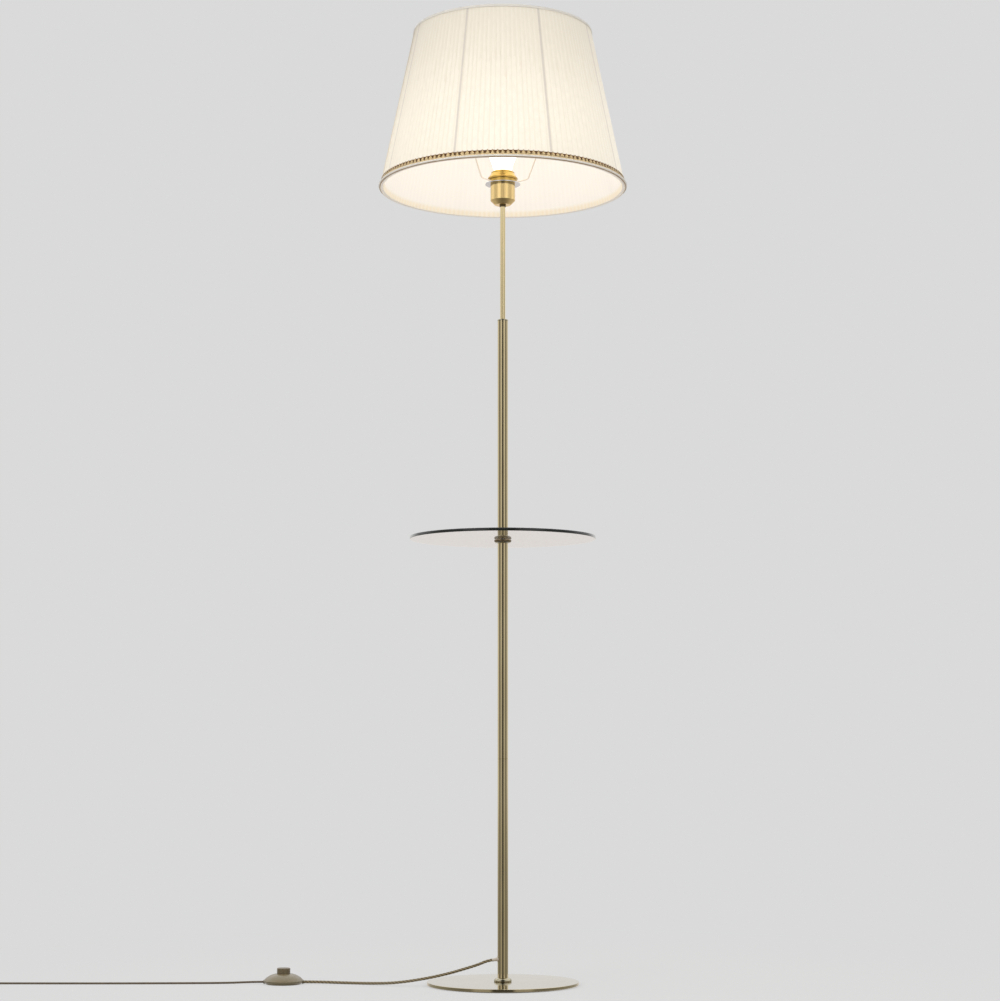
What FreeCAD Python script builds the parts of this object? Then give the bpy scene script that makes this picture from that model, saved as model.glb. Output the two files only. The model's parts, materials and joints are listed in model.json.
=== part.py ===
import FreeCAD, Part
import math
import os

# Floor lamp with a round glass table on its stem and a pleated shade.
# Millimetres, +Z up, origin on the floor at the centre of the base.

# ---- Driving dimensions ----------------------------------------------------
SLIP = 0.1                      # slack between fixed pieces that slide into each other
FREE = 0.3                      # slack between pieces that turn against each other

PAD_R = 114.0
PAD_HOLE_R = 14.0
PAD_TOP = 1.0
BASE_R = 120.0
BASE_TOP = 6.0
BASE_SCREW_R = 4.0

TUBE_R = 8.4
TUBE_BORE_R = 7.2
LOWER_TUBE_TOP = 354.8
COLLAR_R = 14.2
COLLAR_HEIGHT = 5.8

GLASS_R = 150.0
GLASS_BOTTOM = 706.4
GLASS_TOP = 711.4
GLASS_HOLE_R = 6.5
WASHER_THICKNESS = 0.5
WASHER_R = 12.6
NIPPLE_R = 5.0
NIPPLE_BORE_R = 3.6
INSERT_LENGTH = 20.0

UPPER_TUBE_TOP = 1064.2
CAP_TOP = 1066.8
CAP_PLUG_DEPTH = 12.0
CAP_OVERHANG = 0.3
ROD_R = 4.25
ROD_BORE_R = 3.0
ROD_END_IN_CUP = 3.4

CUP_R = 20.3
CUP_WALL = 1.0
CUP_BOTTOM = 1257.0
CUP_FLAT_R = 11.4               # inside the rounded edge under the cup
CUP_SHOULDER = 1264.5
CUP_RIM = 1291.4
ROD_NUT_R = 5.3
ROD_NUT_HEIGHT = 2.8
HOLDER_R = 18.9
HOLDER_BOTTOM = 1262.0
HOLDER_FLOOR = 1283.0
HOLDER_TOP = 1310.8
SOCKET_R = 15.2

FITTER_R = 28.6
FITTER_THICKNESS = 1.0
NUT_SKIRT_R = 21.5
NUT_LIP_R = 24.5
NUT_LIP_BOTTOM = 1299.5
NUT_LIP_TOP = 1302.6
NUT_TOP = 1313.4
NUT_TOP_R = 16.6
NUT_MOUTH_R = 15.0

BULB_CAP_R = 13.2
BULB_CONTACT_Z = 1285.0
BULB_R = 30.0
BULB_WIDEST_Z = 1361.0
BULB_GLASS = 0.8

SHADE_BOTTOM = 1283.9
SHADE_TOP = 1547.9
SHADE_BOTTOM_R = 203.8          # over the piping
SHADE_TOP_R = 147.1             # over the top hem
FABRIC_THICKNESS = 1.2
LINING_THICKNESS = 0.7
LINING_TOP = 1537.0
TRIM_THICKNESS = 1.3
TRIM_TOP = 1296.6
PIPING_R = 1.5
TAPE_TOP = 1285.3
TOP_HEM_THICKNESS = 0.6
TOP_HEM_DEPTH = 4.0
FRAME_RING_WIRE_R = 1.5
RIB_WIRE_R = 1.2
RIB_COUNT = 8
RIB_START_DEG = 22.5
ARM_WIRE_R = 1.15
ARM_AZIMUTHS_DEG = (-21.4, -141.4, 98.6)
ARM_INNER_R = 23.2
ARM_BEND_R = 44.5
ARM_BEND_Z = 1296.9
ARM_BEND_SHARE = 0.16           # of the short run, which each bend takes

GLAND_Z = 40.4
GLAND_TILT_DEG = 8.0
GLAND_LENGTH = 8.5
GLAND_FLARE_LENGTH = 3.8
GLAND_ROOT_R = 4.9
GLAND_TIP_R = 2.45
GLAND_SPIGOT_R = 3.2
GLAND_SPIGOT_X = -6.5            # inner end of the spigot, where the stem cable starts
GLAND_SPIGOT_LENGTH = 3.0
CABLE_R = 2.0

LAMP_LEAD_R = 2.1
PLUG_LEAD_R = 1.65

SWITCH_X = -348.1
SWITCH_Y = 20.0
SWITCH_R = 31.7
SWITCH_WIDEST_Z = 5.5
SWITCH_TOP = 16.2
SWITCH_WALL = 2.0
SWITCH_FLOOR_TOP = 2.0
SWITCH_INLET_Z = 3.4
SWITCH_INLET_R = 2.9
SWITCH_INLET_REACH = 31.9
BUTTON_R = 10.5
BUTTON_TOP = 25.1
BUTTON_FLANGE_R = 13.0
BUTTON_FLANGE_BOTTOM = 10.2
BUTTON_POCKET_R = 7.0
BUTTON_POCKET_TOP = 20.5
MECHANISM_TOP = 5.5
SPRING_R = 5.0
SPRING_WIRE_R = 0.45
SPRING_TURNS = 6
SWITCH_POST_Y = 20.0

COIL_OUTER_R = 24.2
COIL_RADIAL_PITCH = 3.95
COIL_LAYER_PITCH = 3.95
COIL_LAYERS = 4
COIL_TURNS = 9.25
COIL_CENTRE_X = -829.3

PLUG_WIDTH = 35.3
PLUG_HEIGHT = 13.7
PLUG_LENGTH = 30.0
PLUG_RELIEF_LENGTH = 14.0
PIN_R = 2.0
PIN_LENGTH = 19.0
PIN_SPACING = 19.0

# Free lead from the gland to the foot switch: it sinks over the rim of the base to the floor.
LAMP_LEAD_ROUTE = (
    (-16.82, 0.0, 39.22),
    (-24.7, 0.0, 38.1),
    (-39.0, -2.0, 32.2),
    (-60.0, -6.0, 26.2),
    (-86.0, -12.0, 19.2),
    (-123.7, -20.0, 11.9),
    (-168.5, -14.0, 4.9),
    (-212.0, 7.0, 2.2),
    (-254.0, 18.0, 2.2),
    (-291.0, 20.0, 3.3),
    (-316.2, 20.0, 3.4),
)
# Lead from the switch along the floor, in one long gentle bend, to the start of the coil.
PLUG_LEAD_ROUTE = (
    (-380.0, 20.0, 3.4),
    (-400.0, 20.0, 3.2),
    (-432.0, 19.4, 1.9),
    (-482.0, 17.2, 1.65),
    (-538.0, 15.0, 1.65),
    (-596.0, 13.6, 1.65),
    (-654.0, 13.0, 1.65),
    (-712.0, 13.1, 1.65),
    (-769.0, 14.0, 1.65),
    (-826.0, 14.0, 1.65),
)
COIL_CENTRE_Y = PLUG_LEAD_ROUTE[-1][1] - COIL_OUTER_R
COIL_END_Z = PLUG_LEAD_R + (COIL_LAYERS - 1) * COIL_LAYER_PITCH
COIL_END_X = COIL_CENTRE_X - COIL_OUTER_R
COIL_END_Y = COIL_CENTRE_Y - 2 * PLUG_LEAD_R
# Tail from the top of the coil down to the plug that lies beside it.
TAIL_ROUTE = (
    (COIL_END_X, COIL_END_Y, COIL_END_Z),
    (COIL_END_X, COIL_END_Y - 12.5, COIL_END_Z),
    (COIL_END_X + 0.8, COIL_END_Y - 30.5, 10.3),
    (COIL_END_X + 2.5, COIL_END_Y - 48.0, 7.2),
    (COIL_END_X + 2.5, COIL_END_Y - 62.0, 6.9),
)

WORLD_Z = FreeCAD.Vector(0, 0, 1)


# ---- Helpers ---------------------------------------------------------------
def vec(point):
    return FreeCAD.Vector(*point)


def turned(start, *steps, at=(0.0, 0.0)):
    """Turned solid about the upright line through at. A step is the next (r, z) of the outline,
    or a pair of an arc's middle and its end."""
    edges = []
    here = FreeCAD.Vector(start[0], 0, start[1])
    for step in steps + (start,):
        if isinstance(step[0], tuple):
            middle = FreeCAD.Vector(step[0][0], 0, step[0][1])
            end = FreeCAD.Vector(step[1][0], 0, step[1][1])
            edges.append(Part.Arc(here, middle, end).toShape())
        else:
            end = FreeCAD.Vector(step[0], 0, step[1])
            edges.append(Part.LineSegment(here, end).toShape())
        here = end
    solid = Part.Face(Part.Wire(edges)).revolve(FreeCAD.Vector(0, 0, 0), WORLD_Z, 360)
    solid.translate(FreeCAD.Vector(at[0], at[1], 0))
    return solid


def ring(outer_r, inner_r, bottom, top, at=(0.0, 0.0)):
    return turned((inner_r, bottom), (outer_r, bottom), (outer_r, top), (inner_r, top), at=at)


def rod_between(start, end, radius):
    along = end - start
    return Part.makeCylinder(radius, along.Length, start, along)


def cone_band(outer_line, thickness, bottom, top):
    """Conical band whose outer radius at a height is outer_line(height)."""
    return turned(
        (outer_line(bottom) - thickness, bottom), (outer_line(bottom), bottom),
        (outer_line(top), top), (outer_line(top) - thickness, top),
    )


def corner_arc(start, corner, end):
    """Arc tangent to both legs of a corner, which are equally long, and its radius."""
    into = corner - start
    out = end - corner
    half_turn = into.getAngle(out) / 2
    radius = into.Length / math.tan(half_turn)
    inward = out - into
    inward.normalize()
    middle = corner + inward * (radius * (1 / math.cos(half_turn) - 1))
    return Part.Arc(start, middle, end).toShape(), radius


def rounded_path(route, share=0.45):
    """Straight runs joined by tangent arcs, each as large as its shorter run allows."""
    points = [vec(point) for point in route]
    edges = []
    radii = []
    here = points[0]
    for before, corner, after in zip(points, points[1:], points[2:]):
        into = corner - before
        out = after - corner
        cut = share * min(into.Length, out.Length)
        arc_start = corner - into * (cut / into.Length)
        arc_end = corner + out * (cut / out.Length)
        arc, radius = corner_arc(arc_start, corner, arc_end)
        edges.append(Part.LineSegment(here, arc_start).toShape())
        edges.append(arc)
        radii.append(radius)
        here = arc_end
    edges.append(Part.LineSegment(here, points[-1]).toShape())
    return Part.Wire(edges), radii


def round_pipe(path, radius, start, direction):
    section = Part.Wire(Part.Circle(start, direction, radius).toShape())
    return path.makePipeShell([section], True, False)


def lead_tube(name, route, radius):
    """Round tube along a hand-laid route; prints its length, radii and volume."""
    path, radii = rounded_path(route)
    solid = round_pipe(path, radius, vec(route[0]), vec(route[1]) - vec(route[0]))
    expected = math.pi * radius ** 2 * path.Length
    print(name, "length", round(path.Length, 1), "volume ratio", round(solid.Volume / expected, 4))
    print("  bend radii", [round(value) for value in radii])
    return solid


def biarc(start, start_way, end, end_way):
    """Two arcs that join in one tangent line, from one point and heading to another."""
    gap = end - start
    ways = start_way + end_way
    a = ways.dot(ways) - 4
    b = -2 * gap.dot(ways)
    c = gap.dot(gap)
    reach = (-b - math.sqrt(b * b - 4 * a * c)) / (2 * a)
    first_corner = start + start_way * reach
    last_corner = end - end_way * reach
    joint = (first_corner + last_corner) * 0.5
    return [corner_arc(start, first_corner, joint)[0], corner_arc(joint, last_corner, end)[0]]


def wound_edges(curve, turns, start_way=None, end_way=None):
    """Edges of a winding, a biarc for each quarter turn. curve(angle) gives a point."""
    step = 1e-4
    quarter = math.pi / 2
    count = round(turns * 4)

    def heading(angle):
        way = curve(angle + step) - curve(angle - step)
        way.normalize()
        return way

    points = [curve(index * quarter) for index in range(count + 1)]
    ways = [heading(index * quarter) for index in range(count + 1)]
    ways[0] = start_way or ways[0]
    ways[-1] = end_way or ways[-1]
    edges = []
    for index in range(count):
        edges += biarc(points[index], ways[index], points[index + 1], ways[index + 1])
    return edges


def least_self_gap(path, radius, skip):
    """Least clear space between stretches of a wound tube that are more than skip apart along it."""
    spacing = 1.0
    points = path.discretize(Distance=spacing)
    ahead = int(skip / spacing)
    least = min(
        (first - second).Length
        for index, first in enumerate(points)
        for second in points[index + ahead:]
    )
    return least - 2 * radius


def rounded_rectangle(width, height, corner_r, centre):
    """Upright outline in the XZ plane, with lines and quarter arcs."""
    lean = corner_r * (1 - math.sqrt(0.5))
    half_w = width / 2
    half_h = height / 2

    def at(x, z):
        return centre + FreeCAD.Vector(x, 0, z)

    edges = []
    for side_x, side_z in ((1, 1), (-1, 1), (-1, -1), (1, -1)):
        along_side = at(side_x * half_w, side_z * (half_h - corner_r))
        bulge = at(side_x * (half_w - lean), side_z * (half_h - lean))
        along_top = at(side_x * (half_w - corner_r), side_z * half_h)
        ends = (along_side, along_top) if side_x == side_z else (along_top, along_side)
        edges.append((ends[0], bulge, ends[1]))
    outline = []
    for index, (start, bulge, end) in enumerate(edges):
        outline.append(Part.Arc(start, bulge, end).toShape())
        following = edges[(index + 1) % 4][0]
        if (following - end).Length > 1e-6:
            outline.append(Part.LineSegment(end, following).toShape())
    return Part.Wire(outline)


# ---- Base ------------------------------------------------------------------
def base_nodes():
    head_r = 7.6
    head_depth = 3.8
    hole_r = BASE_SCREW_R + SLIP
    rim_round = 0.5
    foot_round = 1.0
    lean = 1 - math.sqrt(0.5)
    plate = turned(
        (head_r + SLIP, PAD_TOP), (BASE_R - foot_round, PAD_TOP),
        ((BASE_R - foot_round * lean, PAD_TOP + foot_round * lean), (BASE_R, PAD_TOP + foot_round)),
        (BASE_R, BASE_TOP - rim_round),
        ((BASE_R - rim_round * lean, BASE_TOP - rim_round * lean), (BASE_R - rim_round, BASE_TOP)),
        (hole_r, BASE_TOP), (hole_r, PAD_TOP + head_depth + SLIP),
    )
    pad = ring(PAD_R, PAD_HOLE_R, 0, PAD_TOP)
    key_r = 2.3
    key_depth = 2.2
    screw_top = BASE_TOP + INSERT_LENGTH - 4
    screw = turned(
        (0, PAD_TOP + key_depth), (key_r, PAD_TOP + key_depth), (key_r, PAD_TOP),
        (head_r, PAD_TOP), (BASE_SCREW_R, PAD_TOP + head_depth), (BASE_SCREW_R, screw_top),
        (0, screw_top),
    )
    return {"base_plate": plate, "base_pad": pad, "base_screw": screw}


def bead_collar(seat, up):
    """Half-bead collar on the tube, flat on its seat; up is 1 above the seat and -1 below it."""
    bore_r = TUBE_R + SLIP
    foot_r = COLLAR_R - 0.8
    neck_r = bore_r + 0.7
    top = seat + up * COLLAR_HEIGHT
    foot_bulge = (COLLAR_R - 0.2, seat + up * 0.7)
    widest = (COLLAR_R, seat + up * 1.8)
    shoulder = (COLLAR_R - 1.3, seat + up * 4.0)
    return turned(
        (bore_r, seat), (foot_r, seat), (foot_bulge, widest), (shoulder, (neck_r, top)),
        (bore_r, top),
    )


# ---- Stem ------------------------------------------------------------------
def stem_nodes():
    fill_r = TUBE_BORE_R - SLIP / 2
    plug_top = BASE_TOP + INSERT_LENGTH
    glass_seat = GLASS_BOTTOM - WASHER_THICKNESS
    over_glass = GLASS_TOP + WASHER_THICKNESS

    lower_tube = ring(TUBE_R, TUBE_BORE_R, BASE_TOP, LOWER_TUBE_TOP)
    gland_hole = Part.makeCylinder(
        GLAND_SPIGOT_R + SLIP, TUBE_R + 2, FreeCAD.Vector(0, 0, GLAND_Z), FreeCAD.Vector(-1, 0, 0)
    )
    lower_tube = lower_tube.cut(gland_hole)

    joint_groove = 0.4
    middle_tube = turned(
        (TUBE_BORE_R, LOWER_TUBE_TOP), (TUBE_R - joint_groove, LOWER_TUBE_TOP),
        (TUBE_R, LOWER_TUBE_TOP + joint_groove), (TUBE_R, glass_seat), (TUBE_BORE_R, glass_seat),
    )
    coupling_bore_r = 5.5
    coupling = ring(
        fill_r, coupling_bore_r, LOWER_TUBE_TOP - INSERT_LENGTH, LOWER_TUBE_TOP + INSERT_LENGTH
    )
    insert_bore_r = NIPPLE_R + SLIP / 2
    nipple_inset = 2.0

    cap_round = 1.6
    cap_r = TUBE_R + CAP_OVERHANG
    cap_bottom = UPPER_TUBE_TOP - CAP_PLUG_DEPTH
    lean = cap_round * (1 - math.sqrt(0.5))
    cap = turned(
        (ROD_R + SLIP, cap_bottom), (fill_r, cap_bottom), (fill_r, UPPER_TUBE_TOP),
        (cap_r, UPPER_TUBE_TOP), (cap_r, CAP_TOP - cap_round),
        ((cap_r - lean, CAP_TOP - lean), (cap_r - cap_round, CAP_TOP)),
        (ROD_R + SLIP, CAP_TOP),
    )
    cable_start = FreeCAD.Vector(GLAND_SPIGOT_X, 0, GLAND_Z)
    cable_corner = FreeCAD.Vector(0, 0, GLAND_Z)
    cable_end = FreeCAD.Vector(0, 0, HOLDER_FLOOR - 2)
    cable_path, _ = rounded_path((cable_start, cable_corner, cable_end), share=0.8)
    return {
        "lower_tube_plug": ring(fill_r, BASE_SCREW_R + SLIP, BASE_TOP, plug_top),
        "lower_tube": lower_tube,
        "tube_coupling": coupling,
        "middle_tube": middle_tube,
        "middle_tube_insert": ring(fill_r, insert_bore_r, glass_seat - INSERT_LENGTH, glass_seat),
        "table_nipple": ring(
            NIPPLE_R, NIPPLE_BORE_R,
            glass_seat - INSERT_LENGTH + nipple_inset, over_glass + INSERT_LENGTH - nipple_inset,
        ),
        "upper_tube_insert": ring(fill_r, insert_bore_r, over_glass, over_glass + INSERT_LENGTH),
        "upper_tube": ring(TUBE_R, TUBE_BORE_R, over_glass, UPPER_TUBE_TOP),
        "tube_cap": cap,
        "rod": ring(ROD_R, ROD_BORE_R, cap_bottom, CUP_BOTTOM + ROD_END_IN_CUP),
        "stem_cable": round_pipe(cable_path, CABLE_R, cable_start, cable_corner - cable_start),
    }


def table_nodes():
    glass_edge = 1.4
    lean = glass_edge * (1 - math.sqrt(0.5))
    low = GLASS_BOTTOM
    high = GLASS_TOP
    glass = turned(
        (GLASS_HOLE_R, low), (GLASS_R - glass_edge, low),
        ((GLASS_R - lean, low + lean), (GLASS_R, low + glass_edge)),
        (GLASS_R, high - glass_edge),
        ((GLASS_R - lean, high - lean), (GLASS_R - glass_edge, high)),
        (GLASS_HOLE_R, high),
    )
    washers = Part.makeCompound([
        ring(WASHER_R, NIPPLE_R + SLIP, GLASS_BOTTOM - WASHER_THICKNESS, GLASS_BOTTOM),
        ring(WASHER_R, NIPPLE_R + SLIP, GLASS_TOP, GLASS_TOP + WASHER_THICKNESS),
    ])
    return {
        "glass_top": glass,
        "glass_bush": ring(GLASS_HOLE_R - SLIP, NIPPLE_R + SLIP, GLASS_BOTTOM, GLASS_TOP),
        "table_washers": washers,
        "table_collar_lower": bead_collar(GLASS_BOTTOM - WASHER_THICKNESS, -1),
        "table_collar_upper": bead_collar(GLASS_TOP + WASHER_THICKNESS, 1),
    }


# ---- Lamp holder and bulb --------------------------------------------------
def holder_nodes():
    bore_r = ROD_R + SLIP
    cup_floor = CUP_BOTTOM + CUP_WALL
    edge_bulge = (CUP_FLAT_R + 1.47, CUP_BOTTOM + 0.3)
    cone_start = (CUP_FLAT_R + 2.7, CUP_BOTTOM + 1.15)
    cup = turned(
        (bore_r, CUP_BOTTOM), (CUP_FLAT_R, CUP_BOTTOM), (edge_bulge, cone_start),
        (CUP_R, CUP_SHOULDER), (CUP_R, CUP_RIM), (CUP_R - CUP_WALL, CUP_RIM),
        (CUP_R - CUP_WALL, CUP_SHOULDER + CUP_WALL / 2), (CUP_FLAT_R + 0.9, cup_floor),
        (bore_r, cup_floor),
    )
    wire_hole_r = CABLE_R + 0.6
    body_foot_r = 14.5
    body_shoulder = HOLDER_BOTTOM + 4.4
    body = turned(
        (wire_hole_r, HOLDER_BOTTOM), (body_foot_r, HOLDER_BOTTOM), (HOLDER_R, body_shoulder),
        (HOLDER_R, HOLDER_TOP), (SOCKET_R, HOLDER_TOP), (SOCKET_R, HOLDER_FLOOR),
        (wire_hole_r, HOLDER_FLOOR),
    )
    contact_r = 5.0
    button_r = 2.2
    contact_thickness = 0.8
    contact_top = HOLDER_FLOOR + 2 * contact_thickness
    contact = turned(
        (0, HOLDER_FLOOR), (contact_r, HOLDER_FLOOR), (contact_r, HOLDER_FLOOR + contact_thickness),
        (button_r, contact_top), (0, contact_top),
    )
    shell_r = SOCKET_R - 0.2
    shell_wall = 0.6
    shell_bottom = HOLDER_FLOOR + 3
    shell_top = HOLDER_TOP - 4
    locknut_r = 7.0
    locknut_height = 2.4
    return {
        "rod_nut": ring(ROD_NUT_R, bore_r, CUP_BOTTOM - ROD_NUT_HEIGHT, CUP_BOTTOM),
        "rod_locknut": ring(locknut_r, bore_r, cup_floor, cup_floor + locknut_height),
        "holder_cup": cup,
        "holder_body": body,
        "holder_screw_shell": ring(shell_r, shell_r - shell_wall, shell_bottom, shell_top),
        "holder_contact": contact,
    }


def shade_nut():
    """Ring nut that clamps the fitter ring: skirt, lip and a stepped taper to the mouth."""
    bore_r = HOLDER_R + FREE
    bottom = CUP_RIM + FITTER_THICKNESS + SLIP
    mouth_bottom = HOLDER_TOP + FREE
    bevel = 0.6
    step_z = NUT_LIP_TOP + 4.2
    step_r = 20.4
    crown_r = NUT_TOP_R + 1.2
    crown_z = NUT_TOP - 1.4
    return turned(
        (bore_r, bottom), (NUT_SKIRT_R, bottom), (NUT_SKIRT_R, NUT_LIP_BOTTOM),
        (NUT_LIP_R - bevel, NUT_LIP_BOTTOM), (NUT_LIP_R, NUT_LIP_BOTTOM + bevel),
        (NUT_LIP_R, NUT_LIP_TOP - bevel), (NUT_LIP_R - 2 * bevel, NUT_LIP_TOP),
        (step_r + bevel, step_z), (step_r, step_z + bevel / 2), (crown_r, crown_z),
        (NUT_TOP_R, NUT_TOP), (NUT_MOUTH_R, NUT_TOP), (NUT_MOUTH_R, mouth_bottom),
        (bore_r, mouth_bottom),
    )


def bulb_nodes():
    cap_bottom = BULB_CONTACT_Z + 3.0
    cap_top = 1310.0
    cap_wall = 0.5
    cap_foot_r = BULB_CAP_R - 1.5
    neck_bottom = 1303.0
    neck_r = BULB_CAP_R - 0.7
    neck_top = cap_top + 1.2
    flare_middle = (18.6, 1330.0)
    flare_end = (27.0, 1347.5)
    shoulder = (29.3, 1354.0)
    top = BULB_WIDEST_Z + BULB_R
    diagonal = math.sqrt(0.5)
    inner_r = BULB_R - BULB_GLASS

    def inside(point):
        return (point[0] - BULB_GLASS, point[1] + BULB_GLASS / 3)

    glass = turned(
        (neck_r, neck_bottom), (neck_r, neck_top - 1), (neck_r + 1, neck_top),
        (flare_middle, flare_end), (shoulder, (BULB_R, BULB_WIDEST_Z)),
        ((BULB_R * diagonal, BULB_WIDEST_Z + BULB_R * diagonal), (0, top)),
        (0, top - BULB_GLASS),
        ((inner_r * diagonal, BULB_WIDEST_Z + inner_r * diagonal), (inner_r, BULB_WIDEST_Z)),
        (inside(shoulder), inside(flare_end)), (inside(flare_middle), (neck_r, neck_top + 0.6)),
        (neck_r - BULB_GLASS, neck_top - 0.6), (neck_r - BULB_GLASS, neck_bottom),
    )
    contact_r = 4.6
    contact_top = BULB_CONTACT_Z + 1.0
    insulator_r = contact_r + 0.8
    insulator = turned(
        (0, contact_top), (insulator_r, contact_top), (cap_foot_r - SLIP, cap_bottom),
        (cap_foot_r - SLIP, cap_bottom + 1), (0, cap_bottom + 1),
    )
    cap = turned(
        (cap_foot_r, cap_bottom), (BULB_CAP_R, cap_bottom + 1.5), (BULB_CAP_R, cap_top),
        (BULB_CAP_R - cap_wall, cap_top), (BULB_CAP_R - cap_wall, cap_bottom + 1.8),
        (cap_foot_r, cap_bottom + 0.8),
    )
    contact = turned(
        (0, BULB_CONTACT_Z), (contact_r - 1, BULB_CONTACT_Z), (contact_r, BULB_CONTACT_Z + 0.6),
        (contact_r, contact_top), (0, contact_top),
    )
    return {
        "bulb_glass": glass, "bulb_cap": cap, "bulb_insulator": insulator, "bulb_contact": contact,
    }


# ---- Shade -----------------------------------------------------------------
def shade_nodes():
    fabric_bottom = SHADE_BOTTOM + 0.5
    fabric_top = SHADE_TOP - 0.5
    piping_z = TAPE_TOP + PIPING_R
    piping_seat_r = SHADE_BOTTOM_R - 2 * PIPING_R - SLIP
    top_r = SHADE_TOP_R - TOP_HEM_THICKNESS - SLIP
    slope = (piping_seat_r - top_r) / (fabric_top - piping_z)

    def fabric_line(height):
        return top_r + slope * (fabric_top - height)

    wire_inset = FABRIC_THICKNESS + 0.2 + FRAME_RING_WIRE_R
    low_ring_z = SHADE_BOTTOM + 1.8
    high_ring_z = SHADE_TOP - 2.0
    low_ring_r = fabric_line(low_ring_z) - wire_inset
    high_ring_r = fabric_line(high_ring_z) - wire_inset

    def lining_line(height):
        return fabric_line(height) - wire_inset - FRAME_RING_WIRE_R - 0.3

    def trim_line(height):
        return fabric_line(height) + SLIP + TRIM_THICKNESS

    trim_bottom = piping_z + PIPING_R
    top_hem_bottom = SHADE_TOP - TOP_HEM_DEPTH
    nodes = {
        "shade_fabric": cone_band(fabric_line, FABRIC_THICKNESS, fabric_bottom, fabric_top),
        "shade_lining": cone_band(lining_line, LINING_THICKNESS, SHADE_BOTTOM + 0.9, LINING_TOP),
        "shade_trim": cone_band(trim_line, TRIM_THICKNESS, trim_bottom, TRIM_TOP),
        "shade_piping": Part.makeTorus(
            fabric_line(piping_z) + SLIP + PIPING_R, PIPING_R, FreeCAD.Vector(0, 0, piping_z)
        ),
        "shade_hem_tape": cone_band(trim_line, TRIM_THICKNESS, SHADE_BOTTOM, TAPE_TOP),
        "shade_top_hem": cone_band(
            lambda height: fabric_line(height) + SLIP + TOP_HEM_THICKNESS,
            TOP_HEM_THICKNESS, top_hem_bottom, SHADE_TOP,
        ),
        "shade_bottom_ring": Part.makeTorus(
            low_ring_r, FRAME_RING_WIRE_R, FreeCAD.Vector(0, 0, low_ring_z)
        ),
        "shade_top_ring": Part.makeTorus(
            high_ring_r, FRAME_RING_WIRE_R, FreeCAD.Vector(0, 0, high_ring_z)
        ),
        "shade_fitter_ring": ring(
            FITTER_R, HOLDER_R + FREE, CUP_RIM, CUP_RIM + FITTER_THICKNESS
        ),
    }

    def spoke(azimuth_deg, radius, height):
        angle = math.radians(azimuth_deg)
        return FreeCAD.Vector(radius * math.cos(angle), radius * math.sin(angle), height)

    ribs = []
    for index in range(RIB_COUNT):
        azimuth = RIB_START_DEG + index * 360 / RIB_COUNT
        foot = spoke(azimuth, low_ring_r, low_ring_z)
        ribs.append(rod_between(foot, spoke(azimuth, high_ring_r, high_ring_z), RIB_WIRE_R))
    nodes["shade_ribs"] = Part.makeCompound(ribs)

    arms = []
    wire_z = CUP_RIM + FITTER_THICKNESS + ARM_WIRE_R
    for azimuth in ARM_AZIMUTHS_DEG:
        route = (
            spoke(azimuth, ARM_INNER_R, wire_z),
            spoke(azimuth, ARM_BEND_R, ARM_BEND_Z),
            spoke(azimuth, high_ring_r, high_ring_z),
        )
        path, _ = rounded_path(route, ARM_BEND_SHARE)
        arms.append(round_pipe(path, ARM_WIRE_R, route[0], route[1] - route[0]))
    nodes["shade_arms"] = Part.makeCompound(arms)
    return nodes


# ---- Leads, coil and plug --------------------------------------------------
def cord_gland():
    """Strain relief with a trumpet foot on the tube and a short sleeve, on a spigot through the
    wall."""
    buried = 2.5
    flare_middle = (3.2, 1.2)
    foot = turned(
        (0, -buried), (GLAND_ROOT_R, -buried), (GLAND_ROOT_R, 0),
        (flare_middle, (GLAND_TIP_R, GLAND_FLARE_LENGTH)), (GLAND_TIP_R, GLAND_LENGTH),
        (0, GLAND_LENGTH),
    )
    foot.rotate(FreeCAD.Vector(0, 0, 0), FreeCAD.Vector(0, 1, 0), -(90 + GLAND_TILT_DEG))
    foot.translate(FreeCAD.Vector(-TUBE_R, 0, GLAND_Z))
    tube_space = Part.makeCylinder(TUBE_R + SLIP / 2, 40, FreeCAD.Vector(0, 0, GLAND_Z - 20))
    spigot = Part.makeCylinder(
        GLAND_SPIGOT_R, GLAND_SPIGOT_LENGTH, FreeCAD.Vector(GLAND_SPIGOT_X, 0, GLAND_Z),
        FreeCAD.Vector(-1, 0, 0),
    )
    return foot.cut(tube_space).fuse(spigot).removeSplitter()


def coil_curve(angle):
    """Centre line of the coil: it spirals in and out again at a steady rate, and climbs a layer
    in each half turn where it reverses."""
    layer_angle = 2 * math.pi * COIL_TURNS / COIL_LAYERS
    rate = COIL_RADIAL_PITCH / (2 * math.pi)
    quarter = math.pi / 2
    depth = layer_angle - abs(angle % (2 * layer_angle) - layer_angle)
    radius = COIL_OUTER_R - rate * depth
    height = 0.0
    for reversal in range(1, COIL_LAYERS):
        past = angle - reversal * layer_angle
        if abs(past) < quarter:
            soften = rate * (quarter / 2 - abs(past) + past ** 2 / math.pi)
            radius += soften if reversal % 2 else -soften
        climbed = min(max(past / math.pi + 0.5, 0.0), 1.0)
        height += COIL_LAYER_PITCH * climbed ** 2 * (3 - 2 * climbed)
    polar = math.pi / 2 + angle
    return FreeCAD.Vector(
        COIL_CENTRE_X + radius * math.cos(polar),
        COIL_CENTRE_Y + radius * math.sin(polar),
        PLUG_LEAD_R + height,
    )


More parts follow.
